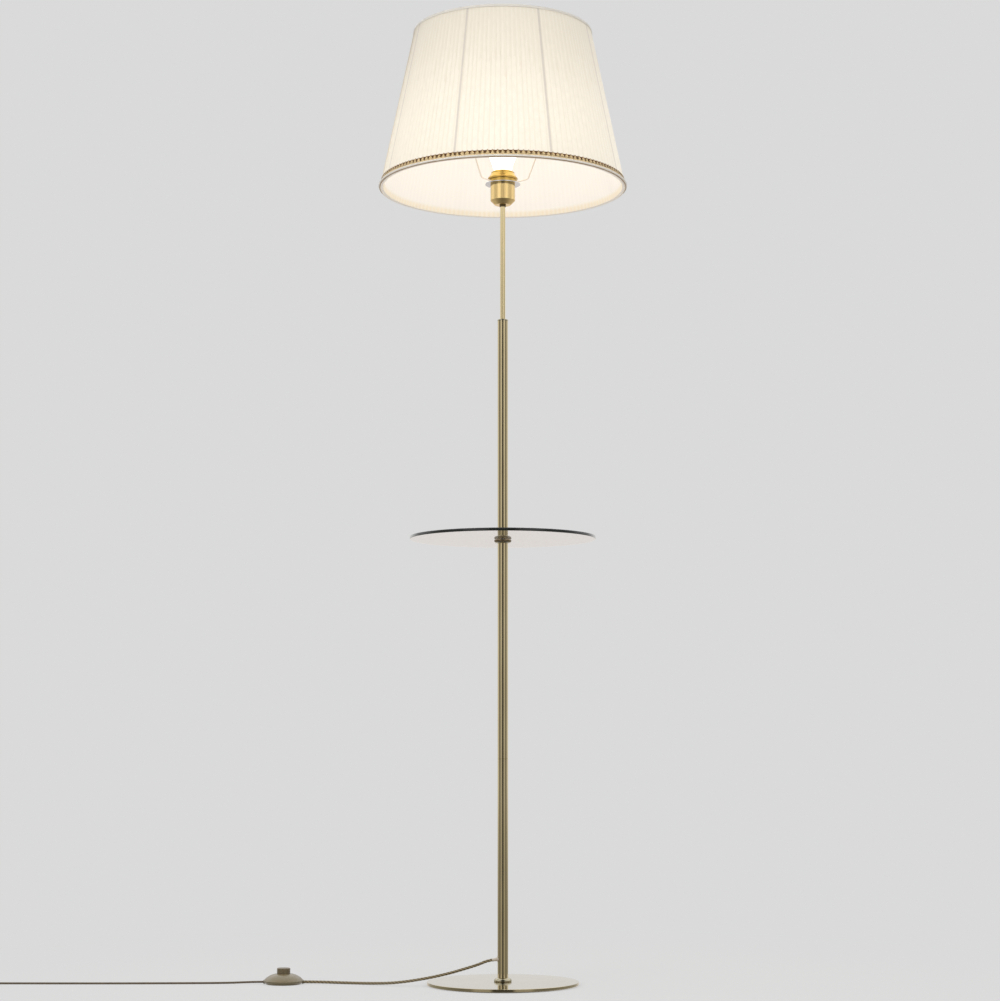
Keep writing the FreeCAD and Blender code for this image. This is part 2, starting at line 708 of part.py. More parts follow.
def lead_coil():
    into = FreeCAD.Vector(-1, 0, 0)
    out = FreeCAD.Vector(0, -1, 0)
    edges = wound_edges(coil_curve, COIL_TURNS, into, out)
    start = vec(PLUG_LEAD_ROUTE[-1])
    end = vec(TAIL_ROUTE[0])
    edges.insert(0, Part.LineSegment(start, coil_curve(0)).toShape())
    edges.append(Part.LineSegment(coil_curve(2 * math.pi * COIL_TURNS), end).toShape())
    path = Part.Wire(edges)
    solid = round_pipe(path, PLUG_LEAD_R, start, into)
    expected = math.pi * PLUG_LEAD_R ** 2 * path.Length
    print("lead_coil length", round(path.Length, 1), "ratio", round(solid.Volume / expected, 4))
    print("  least self-gap", round(least_self_gap(path, PLUG_LEAD_R, 40.0), 2))
    return solid


def plug_nodes():
    entry = vec(TAIL_ROUTE[-1])
    relief_r = PLUG_LEAD_R + 0.7
    relief_root_r = 4.0
    back = entry + FreeCAD.Vector(0, -PLUG_RELIEF_LENGTH, 0)
    front_y = back.y - PLUG_LENGTH
    # Each section: distance from the back, width, height, corner radius.
    sections = (
        (0.0, 10.5, 8.6, 3.6),
        (7.0, 18.0, 11.0, 4.6),
        (18.0, PLUG_WIDTH, PLUG_HEIGHT, 5.6),
        (PLUG_LENGTH, PLUG_WIDTH, PLUG_HEIGHT, 5.6),
    )
    outlines = [
        rounded_rectangle(width, height, corner, back - FreeCAD.Vector(0, along, 0))
        for along, width, height, corner in sections
    ]
    body = Part.makeLoft(outlines, True, True)
    relief = Part.makeCone(
        relief_r, relief_root_r, PLUG_RELIEF_LENGTH, entry, FreeCAD.Vector(0, -1, 0)
    )
    pins = []
    tip_round = 1.0
    for side in (-1, 1):
        pin = Part.makeCylinder(
            PIN_R, PIN_LENGTH, FreeCAD.Vector(entry.x + side * PIN_SPACING / 2, front_y, entry.z),
            FreeCAD.Vector(0, -1, 0),
        )
        tip = [edge for edge in pin.Edges if edge.BoundBox.YMax < front_y - PIN_LENGTH + 0.01]
        pins.append(pin.makeFillet(tip_round, tip))
    return {"plug_body": body.fuse(relief), "plug_pins": Part.makeCompound(pins)}


def lead_nodes():
    nodes = {
        "cord_gland": cord_gland(),
        "lamp_lead": lead_tube("lamp_lead", LAMP_LEAD_ROUTE, LAMP_LEAD_R),
        "plug_lead": lead_tube("plug_lead", PLUG_LEAD_ROUTE, PLUG_LEAD_R),
        "lead_coil": lead_coil(),
        "lead_tail": lead_tube("lead_tail", TAIL_ROUTE, PLUG_LEAD_R),
    }
    nodes.update(plug_nodes())
    return nodes


# ---- Foot switch -----------------------------------------------------------
def switch_nodes():
    at = (SWITCH_X, SWITCH_Y)
    floor_r = 29.0
    hole_r = BUTTON_R + 0.4
    wall = SWITCH_WALL
    skirt = (30.9, 3.6)
    dome = (24.0, 12.1)
    dome_inside = (22.8, 10.4)
    cover = turned(
        (floor_r - wall, SWITCH_FLOOR_TOP), (floor_r, SWITCH_FLOOR_TOP),
        (skirt, (SWITCH_R, SWITCH_WIDEST_Z)), (dome, (hole_r, SWITCH_TOP)),
        (hole_r, SWITCH_TOP - wall), (dome_inside, (SWITCH_R - wall, SWITCH_WIDEST_Z)),
        at=at,
    )
    for side in (-1, 1):
        inlet = Part.makeCylinder(
            SWITCH_INLET_R, SWITCH_INLET_REACH - floor_r - 0.1,
            FreeCAD.Vector(SWITCH_X + side * (floor_r + 0.1), SWITCH_Y, SWITCH_INLET_Z),
            FreeCAD.Vector(side, 0, 0),
        )
        cover = cover.fuse(inlet)

    post_r = 3.0
    pilot_r = 1.5
    pilot_depth = 9.0
    head_r = 2.8
    head_height = 1.2
    head_sunk = 0.2
    screw_length = 8.5
    post_top = 12.0
    base_draft = 1.6
    base = turned(
        (0, 0), (floor_r - base_draft, 0), (floor_r, SWITCH_FLOOR_TOP), (0, SWITCH_FLOOR_TOP),
        at=at,
    )
    screws = []
    for side in (-1, 1):
        foot = FreeCAD.Vector(SWITCH_X, SWITCH_Y + side * SWITCH_POST_Y, 0)
        post_foot = foot + WORLD_Z * SWITCH_FLOOR_TOP
        post = Part.makeCylinder(post_r, post_top - SWITCH_FLOOR_TOP, post_foot)
        pilot = Part.makeCylinder(pilot_r + SLIP, pilot_depth, foot)
        cover = cover.fuse(post).cut(pilot)
        recess = Part.makeCylinder(head_r + SLIP, head_height + head_sunk, foot)
        base = base.cut(recess).cut(pilot)
        head = Part.makeCylinder(head_r, head_height, foot + WORLD_Z * head_sunk)
        shank = Part.makeCylinder(pilot_r, screw_length, foot + WORLD_Z * head_sunk)
        screws.append(head.fuse(shank))

    crown = 1.4
    lean = crown * (1 - math.sqrt(0.5))
    flange_top = BUTTON_FLANGE_BOTTOM + 1.8
    button = turned(
        (BUTTON_POCKET_R, BUTTON_FLANGE_BOTTOM), (BUTTON_FLANGE_R, BUTTON_FLANGE_BOTTOM),
        (BUTTON_FLANGE_R, flange_top), (BUTTON_R, flange_top), (BUTTON_R, BUTTON_TOP - crown),
        ((BUTTON_R - lean, BUTTON_TOP - lean), (BUTTON_R - crown, BUTTON_TOP)),
        (0, BUTTON_TOP), (0, BUTTON_POCKET_TOP), (BUTTON_POCKET_R, BUTTON_POCKET_TOP), at=at,
    )
    block_length = 26.0
    block_width = 18.0
    block_corner = FreeCAD.Vector(
        SWITCH_X - block_length / 2, SWITCH_Y - block_width / 2, SWITCH_FLOOR_TOP
    )
    block = Part.makeBox(
        block_length, block_width, MECHANISM_TOP - SWITCH_FLOOR_TOP, block_corner
    )
    spring_low = MECHANISM_TOP + SPRING_WIRE_R
    rise = BUTTON_POCKET_TOP - SPRING_WIRE_R - spring_low

    def spring_curve(angle):
        height = spring_low + rise * angle / (2 * math.pi * SPRING_TURNS)
        return FreeCAD.Vector(
            SWITCH_X + SPRING_R * math.cos(angle), SWITCH_Y + SPRING_R * math.sin(angle), height
        )

    spring_path = Part.Wire(wound_edges(spring_curve, SPRING_TURNS))
    step = 1e-4
    spring_way = spring_curve(step) - spring_curve(-step)
    spring = round_pipe(spring_path, SPRING_WIRE_R, spring_curve(0), spring_way)
    return {
        "switch_base": base, "switch_cover": cover, "switch_screws": Part.makeCompound(screws),
        "switch_button": button, "switch_mechanism": block, "switch_spring": spring,
    }


# ---- Write every sub-part --------------------------------------------------
def build():
    nodes = {"base_collar": bead_collar(BASE_TOP, 1), "shade_nut": shade_nut()}
    for group in (
        base_nodes(), stem_nodes(), table_nodes(), holder_nodes(), bulb_nodes(), shade_nodes(),
        lead_nodes(), switch_nodes(),
    ):
        nodes.update(group)
    os.makedirs("parts", exist_ok=True)
    for name, shape in sorted(nodes.items()):
        shape.exportStep(os.path.join("parts", name + ".step"))
        if not shape.isValid():
            print("not valid:", name)
    print(len(nodes), "nodes")


build()
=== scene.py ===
import bpy
import json
import math
import random
from mathutils import Matrix, Vector


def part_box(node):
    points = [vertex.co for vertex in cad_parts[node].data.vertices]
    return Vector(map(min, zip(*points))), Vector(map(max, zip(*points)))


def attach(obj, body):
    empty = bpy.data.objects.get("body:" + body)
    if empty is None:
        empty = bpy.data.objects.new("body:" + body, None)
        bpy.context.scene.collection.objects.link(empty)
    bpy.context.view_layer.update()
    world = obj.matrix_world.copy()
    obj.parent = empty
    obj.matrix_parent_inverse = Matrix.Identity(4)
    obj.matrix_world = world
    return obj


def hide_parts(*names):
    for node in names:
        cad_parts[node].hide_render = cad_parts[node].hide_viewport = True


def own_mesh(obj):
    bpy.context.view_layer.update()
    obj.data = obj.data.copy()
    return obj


# Looks of the floor lamp with a glass table: brass stem, pleated lit shade, twisted lead.
# Metres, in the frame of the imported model: +Z up, origin on the floor under the stem.
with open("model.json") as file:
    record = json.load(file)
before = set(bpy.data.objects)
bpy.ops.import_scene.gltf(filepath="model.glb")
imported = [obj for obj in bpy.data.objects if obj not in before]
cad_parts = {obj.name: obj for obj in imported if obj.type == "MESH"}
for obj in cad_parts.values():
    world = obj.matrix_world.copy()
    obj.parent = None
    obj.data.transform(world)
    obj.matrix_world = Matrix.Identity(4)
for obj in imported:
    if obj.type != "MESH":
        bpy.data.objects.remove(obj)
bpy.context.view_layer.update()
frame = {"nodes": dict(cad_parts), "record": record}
nodes = frame["nodes"]
random.seed(11)

# ---- Sizes ----
CAMERA_LENS = 80.46  # millimetres, on a sensor 36 mm wide
CAMERA_PLACE = (-0.0045, -3.5937, 0.3698)
CAMERA_TILT = math.radians(96.351)
BACKGROUND = (0.701, 0.701, 0.701, 1.0)  # linear grey of the studio backdrop
FLOOR_SIZE = 60.0
LAMP_LEAD_D = 0.0042
PLUG_LEAD_D = 0.0033
STRAND_LEAD = 0.018  # length of one full twist of the lamp lead
GROOVE_DEPTH = 0.16  # depth between the strands, as a share of the lead's radius

FABRIC_LOW, FABRIC_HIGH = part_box("shade_fabric")
LINING_LOW, LINING_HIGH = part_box("shade_lining")
TRIM_LOW, TRIM_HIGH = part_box("shade_trim")
BULB_LOW, BULB_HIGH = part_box("bulb_glass")
GLASS_LOW, GLASS_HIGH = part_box("glass_top")
GLASS_MIDDLE = (GLASS_LOW.z + GLASS_HIGH.z) / 2
FABRIC_TOP_R = 0.1464
FABRIC_SLOPE = (FABRIC_HIGH.x - FABRIC_TOP_R) / (FABRIC_HIGH.z - FABRIC_LOW.z)
PLEATS = 136
PLEAT_CLOTH = 0.0154  # cloth that goes into one pleat
RIBS = 8
RIB_START = math.radians(22.5)
# Centre of the painted glow of the bulb's light.
GLOW_CENTRE = Vector((0.0, 0.0, BULB_HIGH.z - 0.080))
GLASS_HOLE_R = 0.0065
GLASS_BEVEL = 0.0012
# Painted shade: a table collar's colour is dark next to the glass and bright away from it.
COLLAR_DARK_END = 0.0062  # a table collar is dark up to here from the glass's middle,
COLLAR_BRIGHT_START = 0.0085  # and bright from here
PLATE_FACE_R = 0.1194  # the base plate's flat face, inside its rim
LOOPS = 156  # scallop loops round the lower edge of the shade
LOOP_HEIGHT = 0.0074
BAND_HEIGHT = 0.0021
SPRING_WIRE_R = 0.00045
SPRING_TURNS = 6

# The same points as the leads' tubes.
LAMP_LEAD_ROUTE = (
    (-0.01682, 0.0, 0.03922), (-0.0247, 0.0, 0.0381), (-0.039, -0.002, 0.0322),
    (-0.060, -0.006, 0.0262), (-0.086, -0.012, 0.0192), (-0.1237, -0.020, 0.0119),
    (-0.1685, -0.014, 0.0049), (-0.212, 0.007, 0.0022), (-0.254, 0.018, 0.0022),
    (-0.291, 0.020, 0.0033), (-0.3162, 0.020, 0.0034),
)
PLUG_LEAD_ROUTE = (
    (-0.380, 0.020, 0.0034), (-0.400, 0.020, 0.0032), (-0.432, 0.0194, 0.0019),
    (-0.482, 0.0172, 0.00165), (-0.538, 0.015, 0.00165), (-0.596, 0.0136, 0.00165),
    (-0.654, 0.013, 0.00165), (-0.712, 0.0131, 0.00165), (-0.769, 0.014, 0.00165),
    (-0.826, 0.014, 0.00165),
)
COIL_OUTER_R = 0.0242
COIL_PITCH = 0.00395  # from turn to turn, and from layer to layer
COIL_LAYERS = 4
COIL_TURNS = 9.25
COIL_POINTS_PER_TURN = 24
COIL_CENTRE = Vector((-0.8293, PLUG_LEAD_ROUTE[-1][1] - COIL_OUTER_R, PLUG_LEAD_D / 2))
COIL_END = Vector((
    COIL_CENTRE.x - COIL_OUTER_R, COIL_CENTRE.y - PLUG_LEAD_D,
    COIL_CENTRE.z + (COIL_LAYERS - 1) * COIL_PITCH,
))
TAIL_ROUTE = (
    (COIL_END.x, COIL_END.y - 0.0125, COIL_END.z),
    (COIL_END.x + 0.0008, COIL_END.y - 0.0305, 0.0103),
    (COIL_END.x + 0.0025, COIL_END.y - 0.048, 0.0072),
    (COIL_END.x + 0.0025, COIL_END.y - 0.062, 0.0069),
)


# ---- Camera ----
def into_scene(new):
    bpy.context.scene.collection.objects.link(new)
    return new


def photo_camera():
    """The camera of the photograph, as fitted to the circles of base, table and shade."""
    data = bpy.data.cameras.new("photo_camera")
    data.lens = CAMERA_LENS
    data.sensor_width = 36.0
    camera = into_scene(bpy.data.objects.new("photo_camera", data))
    camera.location = CAMERA_PLACE
    camera.rotation_euler = (CAMERA_TILT, 0.0, 0.0)
    bpy.context.scene.camera = camera


# ---- Node helpers ----
def put(tree, kind, **settings):
    node = tree.nodes.new(kind)
    for name, value in settings.items():
        setattr(node, name, value)
    return node


def feed(tree, target, source):
    """Links a source socket to a target socket, or writes a plain value on it."""
    if isinstance(source, bpy.types.NodeSocket):
        tree.links.new(source, target)
    else:
        target.default_value = source


def write(node, values):
    """Writes plain values on a node's inputs, by their names."""
    for label, value in values.items():
        node.inputs[label].default_value = value


def feed_all(tree, targets, sources):
    for target, source in zip(targets, sources):
        feed(tree, target, source)


def calc(tree, operation, first, second=0.0, third=0.0, clamp=False):
    node = put(tree, "ShaderNodeMath", operation=operation, use_clamp=clamp)
    feed_all(tree, node.inputs, (first, second, third))
    return node.outputs[0]


def times(tree, first, second):
    return calc(tree, "MULTIPLY", first, second)


def linear(tree, value, slope, offset, clamp=False):
    return calc(tree, "MULTIPLY_ADD", value, slope, offset, clamp)


def between(tree, value, low, high, to_low=0.0, to_high=1.0, kind="SMOOTHSTEP"):
    """Maps low to to_low and high to to_high, and stays at those ends beyond them."""
    node = put(tree, "ShaderNodeMapRange", interpolation_type=kind)
    feed_all(tree, node.inputs, (value, low, high, to_low, to_high))
    return node.outputs[0]


def blend(tree, share, first, second, kind="MIX"):
    """Blends two colours, each a socket or plain red, green and blue."""
    node = put(tree, "ShaderNodeMix", data_type="RGBA", blend_type=kind)
    feed(tree, node.inputs[0], share)
    for socket, color in zip(node.inputs[6:8], (first, second)):
        feed(tree, socket, (*color, 1.0) if isinstance(color, tuple) else color)
    return node.outputs[2]


def scaled(tree, color, level):
    node = put(tree, "ShaderNodeVectorMath", operation="SCALE")
    feed(tree, node.inputs[0], color)
    feed(tree, node.inputs["Scale"], level)
    return node.outputs[0]


def noise(tree, place, scale, detail=3.0, roughness=0.5):
    node = put(tree, "ShaderNodeTexNoise")
    sockets = (node.inputs[name] for name in ("Vector", "Scale", "Detail", "Roughness"))
    feed_all(tree, sockets, (place, scale, detail, roughness))
    return node.outputs[0]


def object_place(tree, stretch=(1.0, 1.0, 1.0)):
    coordinates = put(tree, "ShaderNodeTexCoord")
    mapping = put(tree, "ShaderNodeMapping")
    mapping.inputs["Scale"].default_value = stretch
    tree.links.new(coordinates.outputs["Object"], mapping.inputs["Vector"])
    return mapping.outputs[0]


def parts_of(tree, vector):
    node = put(tree, "ShaderNodeSeparateXYZ")
    tree.links.new(vector, node.inputs[0])
    return node.outputs


def from_axis(tree, x, y):
    """Distance from the axis of the stem."""
    squares = calc(tree, "ADD", calc(tree, "POWER", x, 2.0), calc(tree, "POWER", y, 2.0))
    return calc(tree, "SQRT", squares)


def start_group(name, inputs, outputs):
    """An empty node group with number sockets; returns it with its input and output nodes."""
    group = bpy.data.node_groups.new(name, "ShaderNodeTree")
    for label, value in inputs.items():
        socket = group.interface.new_socket(label, in_out="INPUT", socket_type="NodeSocketFloat")
        socket.default_value = value
    for label in outputs:
        group.interface.new_socket(label, in_out="OUTPUT", socket_type="NodeSocketFloat")
    return group, put(group, "NodeGroupInput").outputs, put(group, "NodeGroupOutput").inputs


def use_group(tree, group, **values):
    node = put(tree, "ShaderNodeGroup", node_tree=group)
    for name, value in values.items():
        feed(tree, node.inputs[name], value)
    return node.outputs


def principled(name, color, roughness, metallic=0.0, specular=0.5):
    material = bpy.data.materials.new(name)
    material.use_nodes = True
    shader = material.node_tree.nodes["Principled BSDF"]
    write(shader, {
        "Base Color": (*color, 1.0), "Roughness": roughness, "Metallic": metallic,
        "Specular IOR Level": specular,
    })
    return material, material.node_tree, shader


def paint(tree, shader, color):
    tree.links.new(color, shader.inputs["Base Color"])


def set_bump(tree, shader, height, strength, distance):
    bump = put(tree, "ShaderNodeBump")
    write(bump, {"Strength": strength, "Distance": distance})
    tree.links.new(height, bump.inputs["Height"])
    tree.links.new(bump.outputs[0], shader.inputs["Normal"])


def set_light(tree, shader, color, strength):
    """Gives a surface light of its own: the bulb's, or a painted glow of the bulb's light on cloth
    and wire.
    """
    feed(tree, shader.inputs["Emission Color"], color)
    shader.inputs["Emission Strength"].default_value = strength


def mix_shaders(tree, share, first, second):
    node = put(tree, "ShaderNodeMixShader")
    feed_all(tree, node.inputs, (share, first, second))
    return node.outputs[0]


# ---- Shared effects ----
def sharpen(group, outputs, noises):
    """Stretches the middle of each noise to the full range."""
    feed_all(group, outputs, [between(group, grey, 0.3, 0.7) for grey in noises])


def drawn_brush_group():
    """Fine scratches along the stem, as brushing leaves on a tube, and a cloudy patina."""
    group, _, outputs = start_group("drawn_brush", {}, ("Line", "Cloud"))
    scratches = noise(group, object_place(group, (1.0, 1.0, 0.012)), 900.0, 4.0)
    clouds = noise(group, object_place(group, (1.0, 1.0, 0.35)), 14.0, 5.0)
    sharpen(group, outputs, (scratches, clouds))
    return group


def turned_brush_group():
    """Fine rings about the stem's axis, as turning leaves, and a cloudy patina."""
    group, _, outputs = start_group("turned_brush", {}, ("Line", "Cloud"))
    place = object_place(group)
    x, y, z = parts_of(group, place)
    section = put(group, "ShaderNodeCombineXYZ")
    feed_all(group, section.inputs, (from_axis(group, x, y), z))
    rings = noise(group, section.outputs[0], 1400.0, 4.0)
    clouds = noise(group, place, 18.0, 5.0)
    sharpen(group, outputs, (rings, clouds))
    return group


def around_group():
    """Where a point stands round the stem: its distance along the surface, in metres, from the
    middle line of the nearest of Count marks, and a wave with one crest per mark."""
    group, inputs, outputs = start_group(
        "around", {"Count": 8.0, "Start": 0.0}, ("Off Line", "Wave")
    )
    x, y, _ = parts_of(group, object_place(group))
    turn = calc(group, "SUBTRACT", calc(group, "ARCTAN2", y, x), inputs["Start"])
    step = calc(group, "DIVIDE", times(group, turn, inputs["Count"]), math.tau)
    off = calc(group, "SUBTRACT", step, calc(group, "ROUND", step))
    angle = calc(group, "DIVIDE", times(group, off, math.tau), inputs["Count"])
    along = times(group, angle, from_axis(group, x, y))
    feed(group, outputs["Off Line"], calc(group, "ABSOLUTE", along))
    wave = calc(group, "COSINE", times(group, step, math.tau))
    feed(group, outputs["Wave"], linear(group, wave, 0.5, 0.5))
    return group


def bulb_glow_group():
    """Painted glow of the lit bulb in cloth and wire: it falls off with the distance from the
    bulb.
    """
    group, inputs, outputs = start_group("bulb_glow", {"Near": 0.19, "Power": 2.0}, ("Glow",))
    distance = put(group, "ShaderNodeVectorMath", operation="DISTANCE")
    feed_all(group, distance.inputs, (object_place(group), GLOW_CENTRE))
    ratio = calc(group, "DIVIDE", inputs["Near"], distance.outputs["Value"])
    feed(group, outputs["Glow"], calc(group, "POWER", ratio, inputs["Power"]))
    return group


def weave_group():
    """Plain weave on the cloth's own UV map, in metres: height of the crossing threads, so many
    to the metre, and slubs along them."""
    group, inputs, outputs = start_group("weave", {"Threads": 1800.0}, ("Thread", "Slub"))
    own = put(group, "ShaderNodeTexCoord").outputs["UV"]
    warp, weft = (
        calc(group, "ABSOLUTE", calc(group, "SINE", times(group, turns, math.pi)))
        for turns in (times(group, way, inputs["Threads"]) for way in parts_of(group, own)[:2])
    )
    crossed = linear(group, warp, 0.6, times(group, weft, 0.4))
    feed(group, outputs["Thread"], crossed)
    mapping = put(group, "ShaderNodeMapping")
    mapping.inputs["Scale"].default_value = (1.0, 0.03, 1.0)
    group.links.new(own, mapping.inputs["Vector"])
    feed(group, outputs["Slub"], noise(group, mapping.outputs[0], 700.0))
    return group


def moulded_grain_group():
    """Fine even grain of moulded plastic with a faint cloud of wear."""
    group, _, outputs = start_group("moulded_grain", {}, ("Grain", "Wear"))
    place = object_place(group)
    feed(group, outputs["Grain"], noise(group, place, 2200.0, 2.0))
    feed(group, outputs["Wear"], noise(group, place, 60.0, 4.0))
    return group


DRAWN = drawn_brush_group()
TURNED = turned_brush_group()
AROUND = around_group()
BULB_GLOW = bulb_glow_group()
WEAVE = weave_group()
MOULDED_GRAIN = moulded_grain_group()


# ---- Finishes ----
def metal(name, color, patina, roughness, brush, bump=0.04):
    """Brushed metal: color where it is clean, and patina in clouds and along the brushing."""
    material, tree, shader = principled(name, color, roughness, metallic=1.0)
    brushed = use_group(tree, brush)
    cloud = times(tree, brushed["Cloud"], 0.55)
    stain = linear(tree, brushed["Line"], 0.25, cloud, True)
    paint(tree, shader, blend(tree, stain, color, patina))
    uneven = linear(tree, brushed["Line"], 0.10, roughness - 0.05)
    feed(tree, shader.inputs["Roughness"], uneven)
    set_bump(tree, shader, brushed["Line"], bump, 0.0002)
    return material


def tint(material, where, color):
    """Gives a metal another colour where a function of x, y and z says 1."""
    tree = material.node_tree
    socket = tree.nodes["Principled BSDF"].inputs["Base Color"]
    share = where(tree, *parts_of(tree, object_place(tree)))
    tree.links.new(blend(tree, share, socket.links[0].from_socket, color), socket)


def plate_rim_painted_dark(tree, x, y, _):
    """The upright rim of the base plate, painted warmer and darker: a painted dark reflection."""
    return between(tree, from_axis(tree, x, y), PLATE_FACE_R, PLATE_FACE_R + 0.0003)


def collar_end_past_painted_shade(tree, _x, _y, z):
    """The end of a table collar away from the glass, painted bright; next to the glass the collar
    stays dark as painted shade.
    """
    away = calc(tree, "ABSOLUTE", calc(tree, "SUBTRACT", z, GLASS_MIDDLE))
    return between(tree, away, COLLAR_DARK_END, COLLAR_BRIGHT_START)


def plastic(name, color, roughness, worn=None, lit=0.0):
    """Moulded plastic or coating; lit is the strength of a painted glow of the near bulb's light
    on it.
    """
    material, tree, shader = principled(name, color, roughness)
    grain = use_group(tree, MOULDED_GRAIN)
    worn = worn or tuple(part * 1.25 for part in color)
    share = between(tree, grain["Wear"], 0.45, 0.75, 0.0, 0.6)
    paint(tree, shader, blend(tree, share, color, worn))
    uneven = linear(tree, grain["Grain"], 0.12, roughness - 0.06)
    feed(tree, shader.inputs["Roughness"], uneven)
    set_bump(tree, shader, grain["Grain"], 0.12, 0.0001)
    # Painted glow of the near bulb's light.
    if lit:
        glow = use_group(tree, BULB_GLOW, Near=0.10, Power=1.0)
        set_light(tree, shader, scaled(tree, (1.0, 0.86, 0.72), glow["Glow"]), lit)
    return material


def pleated_cloth():
    """Thin cream cloth lit from behind, with a painted glow of the bulb's light that is strongest
    near the bulb; painted shadows of the ribs behind it run as lines, and the glow is painted a
    little darker where a second layer lies in each pleat."""
    material, tree, shader = principled("pleated_cloth", (0.52, 0.48, 0.41), 0.85, specular=0.1)
    weave = use_group(tree, WEAVE)
    glow = use_group(tree, BULB_GLOW, Near=0.200, Power=1.6)
    ribs = use_group(tree, AROUND, Count=RIBS, Start=RIB_START)
    # Painted shadows of the ribs, in the cloth's colour and in its glow.
    line = between(tree, ribs["Off Line"], 0.0010, 0.0027, 1.0, 0.0)
    slub = between(tree, weave["Slub"], 0.35, 0.65, 0.94, 1.04, "LINEAR")
    cloth = blend(tree, slub, (0.48, 0.445, 0.38), (0.53, 0.49, 0.425))
    shaded = blend(tree, line, cloth, (0.41, 0.375, 0.33))
    paint(tree, shader, shaded)
    # Painted glow of the bulb's light through the cloth.
    painted_glow_color = blend(tree, glow["Glow"], (0.93, 0.84, 0.70), (1.0, 0.925, 0.775))
    # Painted shade in the glow near each fold, where a second layer lies.
    edge = put(tree, "ShaderNodeAttribute", attribute_name="from_fold")
    fold = between(tree, edge.outputs["Fac"], 0.0003, 0.0024, 1.0, 0.0)
    fold_shaded_glow = blend(tree, fold, painted_glow_color, (0.88, 0.79, 0.61))
    lit = blend(tree, line, fold_shaded_glow, (0.76, 0.68, 0.60))
    level = times(tree, glow["Glow"], slub)
    set_light(tree, shader, scaled(tree, lit, level), 0.355)
    write(shader, {"Alpha": 0.92, "Sheen Weight": 0.35})
    set_bump(tree, shader, weave["Thread"], 0.25, 0.0002)
    return material


def lining_cloth():
    """Thin white lining round the bulb with a painted glow of the bulb's light: faint painted
    shade of the pleats behind it, and near its lower edge painted shadows of the trim's loops
    showing through."""
    material, tree, shader = principled("lining_cloth", (0.66, 0.62, 0.57), 0.9, specular=0.1)
    weave = use_group(tree, WEAVE, Threads=2400.0)
    glow = use_group(tree, BULB_GLOW, Near=0.195, Power=0.8)
    pleats = use_group(tree, AROUND, Count=PLEATS)
    loops = use_group(tree, AROUND, Count=LOOPS)
    _, _, z = parts_of(tree, object_place(tree))
    edge = between(tree, z, TRIM_LOW.z + 0.001, TRIM_HIGH.z, 1.0, 0.0)
    # Painted shade: shadows of the trim's loops near the lower edge, and faint lines of the
    # pleats.
    shadow = times(tree, edge, linear(tree, loops["Wave"], 0.3, 0.55))
    stripe = linear(tree, pleats["Wave"], 0.05, 0.95)
    cloth = blend(tree, shadow, (0.61, 0.57, 0.52), (0.57, 0.49, 0.36))
    paint(tree, shader, cloth)
    # Painted glow of the bulb's light on the lining.
    lit = blend(tree, shadow, (1.0, 0.975, 0.935), (0.95, 0.84, 0.64))
    level = times(tree, glow["Glow"], stripe)
    set_light(tree, shader, scaled(tree, lit, level), 0.41)
    shader.inputs["Alpha"].default_value = 0.90
    set_bump(tree, shader, weave["Thread"], 0.2, 0.0002)
    return material


def thread_cloth(name, light, dark, count, lean, gloss=0.3, lit=0.0):
    """Cord or tape of laid threads: count slanting stripes round the shade, which lean by so many
    turns per metre of height; lit is the strength of a painted glow of the bulb's light through
    it."""
    material, tree, shader = principled(name, light, 0.6, specular=gloss)
    place = object_place(tree)
    x, y, z = parts_of(tree, place)
    turn = times(tree, calc(tree, "ARCTAN2", y, x), count / math.tau)
    steps = linear(tree, z, lean, turn)
    wave = calc(tree, "SINE", times(tree, steps, math.tau))
    stripe = linear(tree, wave, 0.5, 0.5)
    frayed = between(tree, noise(tree, place, 1500.0, 2.0), 0.2, 0.8, 0.6, 1.0)
    share = times(tree, stripe, frayed)
    paint(tree, shader, blend(tree, share, dark, light))
    shader.inputs["Sheen Weight"].default_value = gloss / 2
    # Painted glow of the bulb's light.
    if lit:
        set_light(tree, shader, (*light, 1.0), lit)
    set_bump(tree, shader, stripe, 0.5, 0.0003)
    return material


def frosted_bulb():
    material, tree, shader = principled("frosted_bulb", (0.95, 0.92, 0.86), 0.5)
    mottled = between(tree, noise(tree, object_place(tree), 120.0), 0.3, 0.7)
    light = blend(tree, mottled, (1.0, 0.86, 0.62), (1.0, 0.90, 0.70))
    set_light(tree, shader, light, 4.0)
    return material


def clear_glass():
    material, tree, shader = principled("clear_glass", (1.0, 0.985, 0.97), 0.0)
    write(shader, {"Transmission Weight": 1.0, "IOR": 1.45})
    smear = noise(tree, object_place(tree), 25.0, 4.0)
    feed(tree, shader.inputs["Roughness"], between(tree, smear, 0.45, 0.8, 0.0, 0.006))
    return material


def ground_glass_edge():
    """The edge is black where it faces the eye, pale with a painted reflection where it is seen
    along its face, and clear from within the glass."""
    material, tree, shader = principled("ground_glass_edge", (0.006, 0.007, 0.006), 0.12)
    grain = noise(tree, object_place(tree, (1.0, 1.0, 8.0)), 400.0)
    faced = blend(tree, grain, (0.003, 0.004, 0.0035), (0.013, 0.015, 0.013))
    # Painted reflection: the edge turns pale where it is seen at a glancing angle.
    weight = put(tree, "ShaderNodeLayerWeight")
    weight.inputs[0].default_value = 0.5
    along = between(tree, weight.outputs["Facing"], 0.55, 0.90)
    paint(tree, shader, blend(tree, along, faced, (0.34, 0.35, 0.34)))
    side = put(tree, "ShaderNodeNewGeometry")
    feed(tree, shader.inputs["Alpha"], calc(tree, "SUBTRACT", 1.0, side.outputs["Backfacing"]))
    feed(tree, shader.inputs["Roughness"], between(tree, grain, 0.3, 0.7, 0.08, 0.2))
    return material


